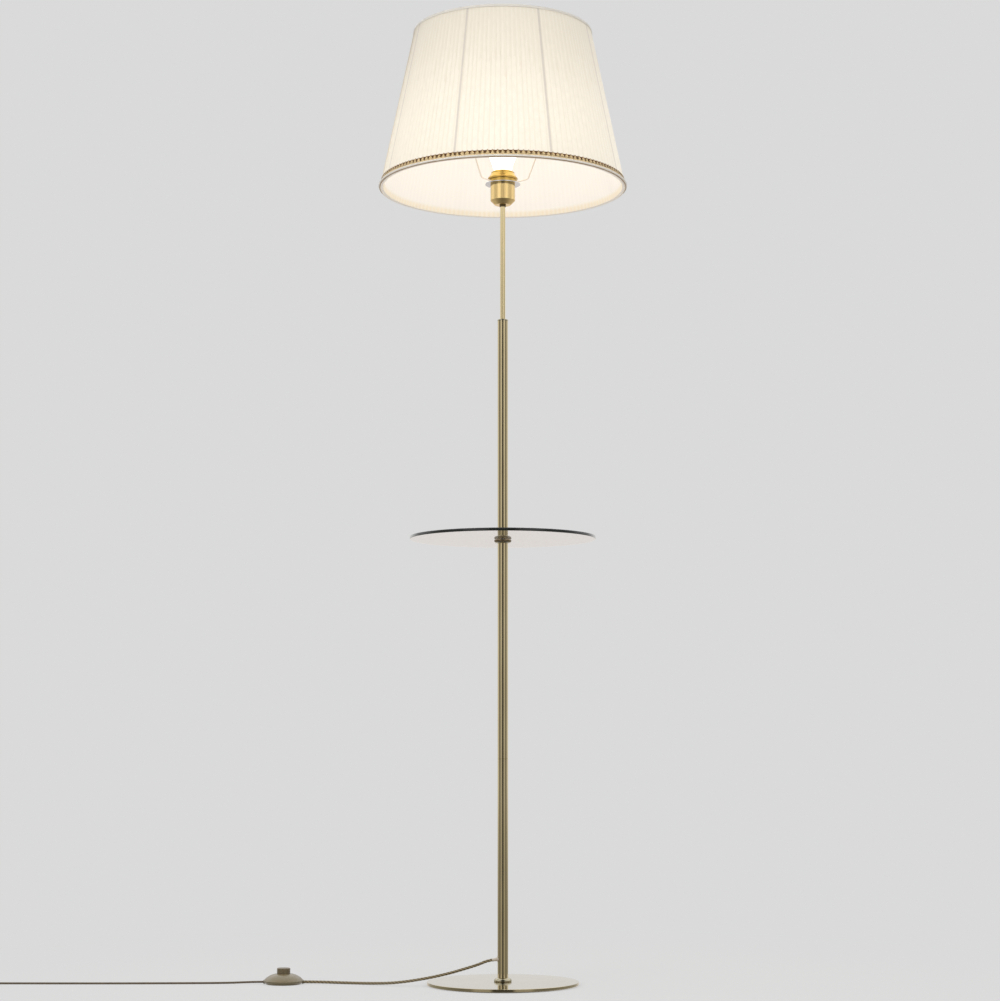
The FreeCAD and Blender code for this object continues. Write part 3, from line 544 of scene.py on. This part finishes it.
def twisted_lead():
    """Plastic strands twisted together, with painted shade darkening the grooves between them."""
    material, tree, shader = principled("twisted_lead", (0.26, 0.21, 0.13), 0.45)
    crest = put(tree, "ShaderNodeAttribute", attribute_name="crest")
    # Painted shade: dark in the grooves, lighter on the strands' crests.
    height = between(tree, crest.outputs["Fac"], 0.15, 0.95)
    color = blend(tree, height, (0.040, 0.027, 0.012), (0.20, 0.155, 0.082))
    paint(tree, shader, color)
    set_bump(tree, shader, use_group(tree, MOULDED_GRAIN)["Grain"], 0.1, 0.0001)
    return material


def felt():
    material, tree, shader = principled("felt", (0.012, 0.011, 0.010), 1.0, specular=0.1)
    fibres = noise(tree, object_place(tree), 1800.0, 5.0, 0.7)
    color = blend(tree, fibres, (0.006, 0.005, 0.005), (0.03, 0.027, 0.025))
    paint(tree, shader, color)
    set_bump(tree, shader, fibres, 0.6, 0.0004)
    return material


# Clean colour, patina, roughness, brushing, and the depth of its lines where they are fine.
METALS = {
    "antique_brass": ((0.53, 0.445, 0.265), (0.40, 0.325, 0.185), 0.10, DRAWN),
    "rod_brass": ((0.73, 0.605, 0.355), (0.61, 0.495, 0.275), 0.12, DRAWN),
    "collar_brass": ((0.35, 0.32, 0.235), (0.25, 0.22, 0.15), 0.06, TURNED, 0.01),
    # Dark as painted shade next to the glass; its far ends are tinted bright below.
    "table_collar": ((0.17, 0.125, 0.072), (0.105, 0.075, 0.042), 0.08, TURNED, 0.01),
    "golden_brass": ((0.86, 0.63, 0.29), (0.74, 0.51, 0.20), 0.20, DRAWN),
    "nut_brass": ((0.72, 0.47, 0.13), (0.52, 0.32, 0.07), 0.26, TURNED),
    "dark_brass": ((0.22, 0.17, 0.09), (0.11, 0.085, 0.045), 0.25, TURNED),
    "raw_brass": ((0.74, 0.56, 0.28), (0.55, 0.40, 0.18), 0.30, TURNED),
    "polished_plate": ((0.52, 0.46, 0.34), (0.45, 0.39, 0.28), 0.08, TURNED, 0.004),
    "zinc_steel": ((0.62, 0.62, 0.62), (0.42, 0.42, 0.43), 0.30, TURNED),
    "silver_steel": ((0.74, 0.74, 0.75), (0.55, 0.55, 0.57), 0.22, TURNED),
    "nickel": ((0.72, 0.70, 0.66), (0.52, 0.50, 0.46), 0.14, DRAWN),
}
# Colour, roughness, colour where it is worn, and the strength of a painted glow of the bulb's
# light on it.
PLASTICS = {
    # The frame wire gets a painted glow of the bulb's light.
    "white_wire": ((0.52, 0.45, 0.37), 0.45, (0.56, 0.49, 0.41), 0.14),
    "holder_plastic": ((0.035, 0.032, 0.028), 0.40),
    "clear_plastic": ((0.20, 0.18, 0.145), 0.35),
    "gland_plastic": ((0.42, 0.37, 0.31), 0.40),
    "khaki_plastic": ((0.143, 0.115, 0.064), 0.32, (0.156, 0.128, 0.073)),
    "button_plastic": ((0.099, 0.073, 0.037), 0.38, (0.112, 0.085, 0.045)),
    "plug_plastic": ((0.085, 0.062, 0.038), 0.45),
    "cable_sheath": ((0.085, 0.062, 0.038), 0.42),
}
# Light and dark thread, stripes round the shade, their lean, gloss, and painted glow of the bulb's
# light.
THREADS = {
    "gold_braid": ((0.69, 0.53, 0.30), (0.50, 0.36, 0.175), 936.0, 300.0),
    "dark_braid": ((0.115, 0.042, 0.009), (0.06, 0.022, 0.005), 940.0, -300.0, 0.05),
    "rim_braid": ((0.26, 0.145, 0.050), (0.13, 0.065, 0.022), 940.0, 300.0, 0.1),
    "satin_cord": ((0.71, 0.665, 0.60), (0.57, 0.53, 0.47), 900.0, 260.0),
    # The ring wrap also gets a painted glow of the bulb's light.
    "ring_wrap": ((0.72, 0.67, 0.61), (0.60, 0.55, 0.50), 700.0, 0.0, 0.3, 0.15),
    "brown_tape": ((0.36, 0.245, 0.135), (0.27, 0.175, 0.09), 1200.0, 0.0),
    "hem_cloth": ((0.62, 0.59, 0.54), (0.54, 0.51, 0.46), 1000.0, 200.0),
}
FINISHES = {name: metal(name, *values) for name, values in METALS.items()}
FINISHES |= {name: plastic(name, *values) for name, values in PLASTICS.items()}
FINISHES |= {name: thread_cloth(name, *values) for name, values in THREADS.items()}
FINISHES |= {
    "pleated_cloth": pleated_cloth(), "lining_cloth": lining_cloth(), "felt": felt(),
    "clear_glass": clear_glass(), "ground_glass_edge": ground_glass_edge(),
    "frosted_bulb": frosted_bulb(), "twisted_lead": twisted_lead(),
}
# Painted dark reflection on the upright rim of the base plate.
tint(FINISHES["polished_plate"], plate_rim_painted_dark, (0.41, 0.345, 0.215))
# Table collars: painted shade next to the glass, brighter away from it.
tint(FINISHES["table_collar"], collar_end_past_painted_shade, (0.50, 0.475, 0.37))

# Nodes that look other than their material slot alone would say.
OWN_FINISHES = {
    "rod": "rod_brass", "base_collar": "collar_brass", "tube_cap": "collar_brass",
    "table_collar_lower": "table_collar", "table_collar_upper": "table_collar",
    "shade_nut": "nut_brass", "switch_button": "button_plastic", "shade_trim": "gold_braid",
}
UNMIRRORED = ("shade_piping", "shade_hem_tape", "shade_top_hem", "shade_arms", "shade_top_ring")


def finish_cad_nodes():
    """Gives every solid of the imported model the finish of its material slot, or its own."""
    slots = {part["node"]: part["material_slot"] for part in frame["record"]["subparts"]}
    for name, node in nodes.items():
        node.data.materials.clear()
        give(node, OWN_FINISHES.get(name, slots[name]))
    for name in UNMIRRORED:
        nodes[name].visible_glossy = False


# ---- Modelling helpers ----
def give(piece, *finishes):
    """Adds finishes to a piece, in the order of its faces' material indices."""
    for name in finishes:
        piece.data.materials.append(FINISHES[name])


def to_mode(mode):
    bpy.ops.object.mode_set(mode=mode)


def deselect():
    bpy.ops.object.select_all(action="DESELECT")


def edit(piece):
    """Starts editing a piece with nothing of it selected."""
    deselect()
    piece.select_set(True)
    bpy.context.view_layer.objects.active = piece
    to_mode("EDIT")
    bpy.ops.mesh.select_all(action="DESELECT")


def pick_all():
    bpy.ops.mesh.select_all(action="SELECT")


def pick(piece, choose, kind="FACE"):
    """Selects the faces or edges that choose accepts, in edit mode."""
    bpy.ops.mesh.select_all(action="DESELECT")
    bpy.ops.mesh.select_mode(type=kind)
    to_mode("OBJECT")
    for item in piece.data.polygons if kind == "FACE" else piece.data.edges:
        item.select = bool(choose(item))
    to_mode("EDIT")


def done_editing(piece, name, smooth_angle=40.0):
    """Ends editing: names the piece, smooths it across gentle edges and settles its place."""
    to_mode("OBJECT")
    piece.name = name
    piece.data.name = name
    bpy.ops.object.shade_smooth_by_angle(angle=math.radians(smooth_angle))
    bpy.ops.object.transform_apply()


def polar(angle, radius, height):
    return Vector((radius * math.cos(angle), radius * math.sin(angle), height))


# ---- Leads ----
def coil_points():
    """Centre line of the put-away coil: it spirals in and out at a steady rate, and climbs a layer
    in each half turn where it reverses."""
    layer_angle = math.tau * COIL_TURNS / COIL_LAYERS
    rate = COIL_PITCH / math.tau
    quarter = math.pi / 2
    points = []
    for index in range(round(COIL_TURNS * COIL_POINTS_PER_TURN) + 1):
        angle = index * math.tau / COIL_POINTS_PER_TURN
        depth = layer_angle - abs(angle % (2 * layer_angle) - layer_angle)
        radius = COIL_OUTER_R - rate * depth
        height = 0.0
        for reversal in range(1, COIL_LAYERS):
            past = angle - reversal * layer_angle
            if abs(past) < quarter:
                soften = rate * (quarter / 2 - abs(past) + past ** 2 / math.pi)
                radius += soften if reversal % 2 else -soften
            climbed = min(max(past / math.pi + 0.5, 0.0), 1.0)
            height += COIL_PITCH * climbed ** 2 * (3 - 2 * climbed)
        points.append(COIL_CENTRE + polar(math.pi / 2 + angle, radius, height))
    return points


def lead_curve(name, route, bevel=0.0):
    """One smooth line whose control points are the route."""
    data = bpy.data.curves.new(name, "CURVE")
    data.dimensions = "3D"
    data.resolution_u = 8
    data.bevel_depth = bevel
    data.bevel_resolution = 3
    spline = data.splines.new("NURBS")
    spline.points.add(len(route) - 1)
    for point, place in zip(spline.points, route):
        point.co = (*place, 1.0)
    spline.order_u = 3
    spline.use_endpoint_u = True
    data.use_fill_caps = bevel > 0.0
    return into_scene(bpy.data.objects.new(name, data))


def line_of(route):
    """Points along the smooth line through a route's bends."""
    guide = lead_curve("lead_guide", route)
    guide.data.resolution_u = 40
    mesh = bpy.data.meshes.new_from_object(guide)
    points = [vertex.co.copy() for vertex in mesh.vertices]
    bpy.data.objects.remove(guide)
    bpy.data.meshes.remove(mesh)
    return points


def evenly(points, spacing):
    """Points on the same line at even spacing."""
    total = sum((after - before).length for before, after in zip(points, points[1:]))
    count = round(total / spacing)
    step = total / count
    even = [points[0]]
    walked = 0.0
    for before, after in zip(points, points[1:]):
        length = (after - before).length
        while len(even) < count and walked + length >= step * len(even):
            share = (step * len(even) - walked) / length
            even.append(before.lerp(after, share))
        walked += length
    even.append(points[-1])
    return even


def switch_spring():
    """Return spring under the foot button, at its rest length; on the real switch it shortens as
    the button goes down.
    """
    low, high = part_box("switch_spring")
    length = high.z - low.z
    foot = Vector(((low.x + high.x) / 2, (low.y + high.y) / 2, low.z))
    bpy.ops.mesh.primitive_circle_add(
        vertices=8, radius=SPRING_WIRE_R, rotation=(math.pi / 2, 0.0, 0.0),
        location=((high.x - low.x) / 2 - SPRING_WIRE_R, 0.0, 0.0),
    )
    bpy.ops.object.transform_apply()
    piece = bpy.context.object
    give(piece, "zinc_steel")
    wind = piece.modifiers.new("wind", "SCREW")
    wind.iterations = SPRING_TURNS
    wind.screw_offset = (length - 2 * SPRING_WIRE_R) / SPRING_TURNS
    wind.steps = wind.render_steps = 24
    bpy.ops.object.modifier_apply(modifier="wind")
    edit(piece)
    pick_all()
    bpy.ops.mesh.fill_holes(sides=0)
    pick_all()
    bpy.ops.mesh.normals_make_consistent()
    bpy.ops.transform.translate(value=foot + Vector((0.0, 0.0, SPRING_WIRE_R)))
    done_editing(piece, "switch_return_spring", 60.0)
    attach(piece, "stand")
    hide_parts("switch_spring")
    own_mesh(piece)
    return piece


def twisted_lamp_lead():
    """Three strands twisted together, as one tube whose section has three lobes and turns."""
    lobes = 3
    around = 24
    spacing = 0.0011
    fullness = 1.08
    path = evenly(line_of(LAMP_LEAD_ROUTE), spacing)
    radius = fullness * LAMP_LEAD_D / 2
    points = []
    crests = []
    side = Vector((0.0, 1.0, 0.0))
    for index, place in enumerate(path):
        ahead = path[min(index + 1, len(path) - 1)]
        behind = path[max(index - 1, 0)]
        way = (ahead - behind).normalized()
        side = (side - way * side.dot(way)).normalized()
        up = way.cross(side)
        twist = math.tau * index * spacing / STRAND_LEAD
        for corner in range(around):
            angle = math.tau * corner / around
            crest = abs(math.cos(lobes * (angle - twist) / 2))
            reach = radius * (1 - GROOVE_DEPTH * (1 - crest) ** 1.4)
            points.append(place + (side * math.cos(angle) + up * math.sin(angle)) * reach)
            crests.append(crest)
    faces = [
        (ring * around + corner, ring * around + (corner + 1) % around,
         (ring + 1) * around + (corner + 1) % around, (ring + 1) * around + corner)
        for ring in range(len(path) - 1) for corner in range(around)
    ]
    faces.append(tuple(reversed(range(around))))
    faces.append(tuple(range(len(points) - around, len(points))))
    mesh = bpy.data.meshes.new("lamp_lead_twisted")
    mesh.from_pydata(points, [], faces)
    mesh.attributes.new("crest", "FLOAT", "POINT").data.foreach_set("value", crests)
    mesh.shade_smooth()
    piece = into_scene(bpy.data.objects.new("lamp_lead_twisted", mesh))
    give(piece, "twisted_lead")
    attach(piece, "stand")
    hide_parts("lamp_lead")
    ([switch_spring()] + [
            nodes[name] for name in ("switch_base", "switch_cover", "switch_screws",
                                     "switch_mechanism", "switch_button")
        ])


def plug_side_lead():
    """Smooth lead from the foot switch along the floor, through the coil, to the plug."""
    route = [*PLUG_LEAD_ROUTE, *coil_points(), COIL_END, *TAIL_ROUTE]
    piece = lead_curve("plug_lead_smooth", route, PLUG_LEAD_D / 2)
    give(piece, "cable_sheath")
    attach(piece, "stand")
    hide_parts("plug_lead", "lead_coil", "lead_tail")


# ---- Shade cloth ----
def cloth_radius(height):
    return FABRIC_TOP_R + FABRIC_SLOPE * (FABRIC_HIGH.z - height)


def add_metre_uv(piece, places):
    """Own UV map in metres of cloth, one place for each vertex."""
    layer = piece.data.uv_layers.new(name="cloth")
    for loop in piece.data.loops:
        layer.data[loop.index].uv = places[loop.vertex_index]


def open_cone(columns, low, high, radius_at):
    bpy.ops.mesh.primitive_cone_add(
        vertices=columns, radius1=radius_at(low), radius2=radius_at(high), depth=high - low,
        end_fill_type="NOTHING", location=(0.0, 0.0, (low + high) / 2),
    )
    return bpy.context.object


def cloth_cone(columns, rows, low, high, radius_at):
    """A plain cone of cloth from one height to another, ruled into columns and rows."""
    piece = open_cone(columns, low, high, radius_at)
    bpy.ops.object.transform_apply()
    edit(piece)
    points = piece.data.vertices

    def upright(edge):
        first, second = (points[end].co for end in edge.vertices)
        return abs(first.z - second.z) > 0.001

    pick(piece, upright, "EDGE")
    bpy.ops.mesh.subdivide(number_cuts=rows - 1)
    to_mode("OBJECT")
    return piece


def pleated_fabric():
    """Knife pleats from ring to ring: each lies over the next by more cloth towards the top. The
    three lines of a pleat lie a little behind the outline of the cloth."""
    front = -0.0001
    under = -0.0004
    back = -0.0006
    uneven = 0.16
    most_bow = 0.03
    widths = [1.0 + random.uniform(-uneven, uneven) for _ in range(PLEATS)]
    scale = math.tau / sum(widths)
    starts = [sum(widths[:index]) * scale for index in range(PLEATS)]
    sways = [random.uniform(-1.0, 1.0) for _ in range(PLEATS)]
    low_z, high_z = FABRIC_LOW.z, FABRIC_HIGH.z
    piece = cloth_cone(PLEATS * 3, 14, low_z, high_z, cloth_radius)
    piece.name = "pleated_shade_cloth"
    places = []
    folds = []
    for vertex in piece.data.vertices:
        height = vertex.co.z
        bow = most_bow * math.sin(math.pi * (height - low_z) / (high_z - low_z))
        radius = cloth_radius(height)
        pitch = math.tau * radius / PLEATS
        lap = (PLEAT_CLOTH - pitch) / (2 * pitch)
        column = round(math.atan2(vertex.co.y, vertex.co.x) / math.tau * PLEATS * 3)
        index, corner = divmod(column % (PLEATS * 3), 3)
        width = widths[index] * scale
        start = starts[index] + bow * width * sways[index]
        end = starts[index] + width * (1 + bow * sways[(index + 1) % PLEATS])
        inner = end - lap * (end - start)
        angle, offset, used, fold = (
            (start, back, 0.0, pitch), (end, front, pitch, 0.0),
            (inner, under, pitch * (1 + lap), 0.0),
        )[corner]
        vertex.co = polar(angle, radius + offset, height)
        places.append((index * PLEAT_CLOTH + used, height))
        folds.append(fold)
    piece.data.attributes.new("from_fold", "FLOAT", "POINT").data.foreach_set("value", folds)
    add_metre_uv(piece, places)
    give(piece, "pleated_cloth")
    piece.data.shade_flat()
    piece.visible_glossy = False
    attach(piece, "shade")
    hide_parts("shade_fabric")


def shade_lining():
    """Smooth lining, drawn in a little between the ribs."""
    behind_ribs = 0.0006
    most_slack = 0.00025
    low_z, high_z = LINING_LOW.z, LINING_HIGH.z
    low_r = LINING_HIGH.x - behind_ribs

    def radius_at(height):
        return low_r - FABRIC_SLOPE * (height - low_z)

    piece = cloth_cone(256, 12, low_z, high_z, radius_at)
    piece.name = "shade_lining_cloth"
    places = []
    for vertex in piece.data.vertices:
        height = vertex.co.z
        angle = math.atan2(vertex.co.y, vertex.co.x)
        rise = (height - low_z) / (high_z - low_z)
        slack = most_slack * math.cos(RIBS * (angle - RIB_START)) * math.sin(math.pi * rise)
        vertex.co = polar(angle, vertex.co.xy.length + slack, height)
        places.append((angle * low_r, height))
    add_metre_uv(piece, places)
    give(piece, "lining_cloth")
    piece.data.shade_smooth()
    piece.visible_glossy = False
    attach(piece, "shade")
    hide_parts("shade_lining")


# ---- Trim of the shade ----
def one_loop():
    """One scallop of the braid: a domed tongue with a darker rim, lying flat in XZ, its foot at
    the origin and its face towards -Y."""
    share_of_pitch = 0.97
    squareness = 0.6
    taper = 0.66
    fullness = 0.85
    thickness = 0.0002
    rim_width = 0.0007
    dark_from = 0.42
    foot_half = share_of_pitch * math.pi * cloth_radius(TRIM_LOW.z) / LOOPS
    bpy.ops.mesh.primitive_circle_add(vertices=18, radius=1.0, fill_type="NGON")
    loop = bpy.context.object
    give(loop, "gold_braid", "rim_braid")
    for vertex in loop.data.vertices:
        up = max(vertex.co.y, 0.0)
        half = math.copysign(abs(vertex.co.x) ** squareness, vertex.co.x) * (1.0 - taper * up)
        vertex.co = (foot_half * half, 0.0, LOOP_HEIGHT * up ** fullness)
    edit(loop)
    pick(loop, lambda face: True)
    bpy.ops.mesh.extrude_region_move(TRANSFORM_OT_translate={"value": (0.0, -thickness, 0.0)})
    bpy.ops.mesh.inset(thickness=rim_width, depth=0.00012, use_even_offset=False)
    bpy.ops.mesh.inset(thickness=rim_width, depth=0.00008, use_even_offset=False)
    bpy.ops.mesh.normals_make_consistent()
    done_editing(loop, "scallop_loop", 50.0)
    for face in loop.data.polygons:
        tip = face.center.z > dark_from * LOOP_HEIGHT
        face.material_index = 1 if tip and face.center.y > -1.5 * thickness else 0
    return loop


def scallop_loops():
    """The row of loops round the lower edge of the shade, each a little askew."""
    off_cloth = 0.00045
    askew = 0.02
    loop = one_loop()
    lean = math.atan(FABRIC_SLOPE)
    foot_z = TRIM_LOW.z + BAND_HEIGHT * 0.8
    foot_r = cloth_radius(foot_z) + off_cloth
    place = Matrix.Translation((0.0, -foot_r, foot_z)) @ Matrix.Rotation(-lean, 4, "X")
    copies = []
    for index in range(LOOPS):
        copy = into_scene(loop.copy())
        copy.data = loop.data.copy()
        tilt = Matrix.Rotation(random.uniform(-askew, askew), 4, "Y")
        copy.matrix_world = Matrix.Rotation(math.tau * index / LOOPS, 4, "Z") @ place @ tilt
        copies.append(copy)
    bpy.data.objects.remove(loop)
    deselect()
    for copy in copies:
        copy.select_set(True)
    bpy.context.view_layer.objects.active = copies[0]
    bpy.ops.object.join()
    bpy.ops.object.transform_apply()
    piece = bpy.context.object
    piece.name = "scallop_loops"
    piece.visible_glossy = False
    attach(piece, "shade")
    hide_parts("shade_trim")


def cloth_band(name, low_z, high_z, out, thickness, *finishes):
    """A narrow band round the shade between two heights, its inner face out from the cloth."""
    piece = open_cone(LOOPS * 2, low_z, high_z, lambda height: cloth_radius(height) + out)
    give(piece, *finishes)
    edit(piece)
    pick_all()
    bpy.ops.mesh.subdivide(number_cuts=1)
    done_editing(piece, name)
    thicken = piece.modifiers.new("cloth", "SOLIDIFY")
    thicken.thickness = thickness
    thicken.offset = 1.0
    bpy.ops.object.modifier_apply(modifier="cloth")
    piece.visible_glossy = False
    return piece


def dark_backing():
    """Dark braid that shows between the loops, from behind the band to just past their tips."""
    low_z = TRIM_LOW.z + BAND_HEIGHT * 0.4
    high_z = TRIM_LOW.z + LOOP_HEIGHT * 1.02
    piece = cloth_band("trim_backing", low_z, high_z, 0.0001, 0.0005, "dark_braid")
    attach(piece, "shade")
    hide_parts("shade_trim")


def gold_band():
    """Flat twisted cord under the loops."""
    off_cloth = 0.00075
    flatness = 0.6
    middle = TRIM_LOW.z + BAND_HEIGHT / 2
    bpy.ops.mesh.primitive_torus_add(
        major_segments=LOOPS * 2, minor_segments=10,
        major_radius=cloth_radius(middle) + off_cloth, minor_radius=BAND_HEIGHT / 2,
        location=(0.0, 0.0, middle),
    )
    piece = bpy.context.object
    give(piece, "gold_braid")
    for vertex in piece.data.vertices:
        flat = Vector((vertex.co.x, vertex.co.y, 0.0))
        line = cloth_radius(middle + vertex.co.z) + off_cloth
        out = flat.length - line
        vertex.co.xy = flat.xy * ((line + out * flatness) / flat.length)
    edit(piece)
    done_editing(piece, "trim_band", 60.0)
    piece.visible_glossy = False
    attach(piece, "shade")
    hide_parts("shade_trim")


def ring_wrap():
    """Cloth strip wound round the lower ring of the frame."""
    cloth = 0.00015
    low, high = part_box("shade_bottom_ring")
    middle = (low.z + high.z) / 2
    wire_r = (high.z - low.z) / 2
    bpy.ops.mesh.primitive_torus_add(
        major_segments=240, minor_segments=12, major_radius=high.x - wire_r,
        minor_radius=wire_r + cloth, location=(0.0, 0.0, middle),
    )
    piece = bpy.context.object
    give(piece, "ring_wrap")
    edit(piece)
    pick_all()
    bpy.ops.mesh.subdivide(number_cuts=1, smoothness=0.4)
    done_editing(piece, "ring_wrap", 60.0)
    piece.visible_glossy = False
    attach(piece, "shade")
    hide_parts("shade_bottom_ring")


def rim_tape():
    """Narrow woven tape under the piping: brown outside, and along its lower edge in front."""
    lift = 0.00025
    inside = 0.0005
    thickness = 0.0012
    front = 0.03
    low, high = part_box("shade_hem_tape")
    piece = cloth_band(
        "rim_tape", low.z + lift, high.z, -inside, thickness, "brown_tape", "ring_wrap"
    )
    for face in piece.data.polygons:
        outside = face.normal.dot(Vector((face.center.x, face.center.y, 0.0)).normalized()) > 0.5
        front_edge = face.normal.z < -0.5 and face.center.y < front
        face.material_index = 0 if outside or front_edge else 1
    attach(piece, "shade")
    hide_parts("shade_hem_tape")


# ---- Glass table top ----
def glass_table():
    """Round glass with a hole for the stem and a ground, rounded edge."""
    radius = GLASS_HIGH.x
    bpy.ops.mesh.primitive_cylinder_add(
        vertices=192, radius=radius, depth=GLASS_HIGH.z - GLASS_LOW.z, end_fill_type="NGON",
        location=(0.0, 0.0, GLASS_MIDDLE),
    )
    piece = bpy.context.object
    give(piece, "clear_glass", "ground_glass_edge")
    edit(piece)
    pick(piece, lambda face: abs(face.normal.z) > 0.9)
    bpy.ops.mesh.inset(thickness=radius - GLASS_HOLE_R)
    bpy.ops.mesh.bridge_edge_loops()
    points = piece.data.vertices

    def on_rim(edge):
        first, second = (points[end].co for end in edge.vertices)
        level = abs(first.z - second.z) < 0.0001
        return level and min(first.xy.length, second.xy.length) > radius - 0.0001

    pick(piece, on_rim, "EDGE")
    bpy.ops.mesh.bevel(offset=GLASS_BEVEL, segments=4, profile=0.5)
    pick_all()
    bpy.ops.mesh.normals_make_consistent()
    done_editing(piece, "glass_table_top", 30.0)
    for face in piece.data.polygons:
        outside = Vector(face.center.xy).length > radius - GLASS_BEVEL * 1.5
        face.material_index = 1 if outside and abs(face.normal.z) < 0.9 else 0
        if abs(face.normal.z) > 0.999:
            face.use_smooth = False
    piece.visible_shadow = False
    piece.visible_glossy = False
    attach(piece, "stand")
    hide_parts("glass_top")


# ---- Stage ----
def shade_ramp(tree, turn, stops):
    """Grey levels by the angle, in degrees, from the side that the photograph was taken from."""
    ramp = put(tree, "ShaderNodeValToRGB")
    feed(tree, ramp.inputs[0], calc(tree, "DIVIDE", turn, math.pi))
    elements = ramp.color_ramp.elements
    while len(elements) < len(stops):
        elements.new(0.5)
    for element, (degrees, level) in zip(elements, stops):
        element.position = degrees / 180
        element.color = (level, level, level, 1.0)
    return ramp.outputs[0]


def background(tree, color, strength=1.0):
    node = put(tree, "ShaderNodeBackground")
    feed_all(tree, node.inputs, (color, strength))
    return node.outputs[0]


def studio_world():
    """Even soft light. Metal and glass mirror the backdrop behind the lamp, bright screens at its
    sides, two softboxes in front with darkness between them, a dimmer floor, and over them the
    lit shade and the ceiling."""
    world = bpy.data.worlds.new("studio")
    world.use_nodes = True
    bpy.context.scene.world = world
    tree = world.node_tree
    tree.nodes.clear()
    path = put(tree, "ShaderNodeLightPath").outputs
    place = put(tree, "ShaderNodeTexCoord")
    x, y, z = parts_of(tree, place.outputs["Generated"])
    turn = calc(tree, "ABSOLUTE", calc(tree, "ARCTAN2", x, times(tree, y, -1.0)))
    screens = shade_ramp(tree, turn, (
        (0, 0.08), (13, 0.08), (20, 0.30), (84, 0.33), (96, 0.75), (106, 1.15), (145, 1.05),
        (160, 0.83), (180, 0.83),
    ))
    softboxes = shade_ramp(tree, turn, ((0, 0.0), (15, 0.0), (20, 1.0), (48, 1.0), (55, 0.0)))
    upward = between(tree, z, -0.09, 0.16, 0.28, 0.85, "LINEAR")
    front = blend(tree, 1.0, screens, scaled(tree, softboxes, upward), "ADD")
    floor = shade_ramp(tree, turn, (
        (0, 0.12), (14, 0.12), (20, 0.60), (42, 0.62), (50, 0.35), (66, 0.31), (107, 0.44),
        (142, 0.56), (158, 0.78), (180, 0.78),
    ))
    floor = blend(tree, 1.0, floor, (1.0, 0.985, 0.93), "MULTIPLY")
    behind = between(tree, turn, 2.6, 2.8)
    floor = blend(tree, behind, floor, (0.83, 0.775, 0.735))
    straight_down = between(tree, z, -0.98, -0.60, 0.16, 0.60, "LINEAR")
    lit_shade = shade_ramp(tree, turn, (
        (0, 1.12), (17, 1.05), (25, 1.36), (40, 1.36), (50, 0.98), (86, 0.92), (94, 1.20),
        (108, 1.20), (118, 0.88), (180, 0.88),
    ))
    ceiling = shade_ramp(tree, turn, ((0, 0.12), (20, 0.14), (45, 1.20), (90, 1.75), (180, 1.75)))
    seen = blend(tree, between(tree, z, -0.075, 0.0), floor, front)
    seen = blend(tree, between(tree, z, -0.75, -0.40), straight_down, seen)
    seen = blend(tree, between(tree, z, 0.205, 0.240), seen, lit_shade)
    seen = blend(tree, between(tree, z, 0.34, 0.50), seen, ceiling)
    shiny = background(tree, seen)
    plain = background(tree, BACKGROUND)
    ambient = background(tree, (1.0, 0.99, 0.97, 1.0), 0.62)
    reflected = mix_shaders(tree, path["Is Glossy Ray"], ambient, shiny)
    straight = calc(tree, "MAXIMUM", path["Is Camera Ray"], path["Is Transmission Ray"])
    surface = mix_shaders(tree, straight, reflected, plain)
    tree.links.new(surface, put(tree, "ShaderNodeOutputWorld").inputs[0])


def studio_floor():
    """Pale floor that meets the backdrop without a line and keeps the lamp's soft shadow: seen
    directly it is mostly backdrop, and more of a real board near the lamp."""
    bpy.ops.mesh.primitive_plane_add(size=FLOOR_SIZE)
    floor = bpy.context.object
    floor.name = "studio_floor"
    material = bpy.data.materials.new("studio_floor")
    material.use_nodes = True
    tree = material.node_tree
    tree.nodes.clear()
    path = put(tree, "ShaderNodeLightPath").outputs
    x, y, _ = parts_of(tree, object_place(tree))
    near = between(tree, from_axis(tree, x, y), 0.25, 1.1, 0.35, 0.0)
    mirrored = calc(tree, "MAXIMUM", path["Is Glossy Ray"], path["Is Transmission Ray"])
    straight = calc(tree, "MAXIMUM", path["Is Camera Ray"], mirrored)
    backdrop_share = times(tree, straight, calc(tree, "SUBTRACT", 1.0, near))
    board_share = calc(tree, "SUBTRACT", 1.0, backdrop_share)
    backdrop = put(tree, "ShaderNodeEmission")
    backdrop.inputs[0].default_value = BACKGROUND
    board = put(tree, "ShaderNodeBsdfDiffuse")
    tree.links.new(linear(tree, straight, -0.18, 0.82), board.inputs[0])
    mixed = mix_shaders(tree, board_share, backdrop.outputs[0], board.outputs[0])
    tree.links.new(mixed, put(tree, "ShaderNodeOutputMaterial").inputs[0])
    floor.data.materials.append(material)
    floor.visible_glossy = False


def soft_light(name, place, aim, size, power):
    data = bpy.data.lights.new(name, "AREA")
    data.shape = "DISK"
    data.size = size
    data.energy = power
    light = into_scene(bpy.data.objects.new(name, data))
    light.location = place
    light.rotation_euler = (Vector(aim) - Vector(place)).to_track_quat("-Z", "Y").to_euler()
    light.visible_glossy = False
    light.visible_camera = False
    light.visible_transmission = False


def studio_lights():
    soft_light("key_left", (-2.4, -2.8, 2.2), (0.0, 0.0, 0.9), 2.6, 64.0)
    soft_light("key_right", (2.4, -2.8, 2.2), (0.0, 0.0, 0.9), 2.6, 46.0)
    soft_light("top", (0.0, 0.4, 4.2), (0.0, 0.0, 0.8), 3.0, 60.0)


# ---- Build ----
photo_camera()
twisted_lamp_lead()
plug_side_lead()
studio_world()
studio_floor()
studio_lights()
finish_cad_nodes()
pleated_fabric()
shade_lining()
scallop_loops()
dark_backing()
gold_band()
ring_wrap()
rim_tape()
glass_table()

bpy.context.scene.view_settings.view_transform = "Standard"
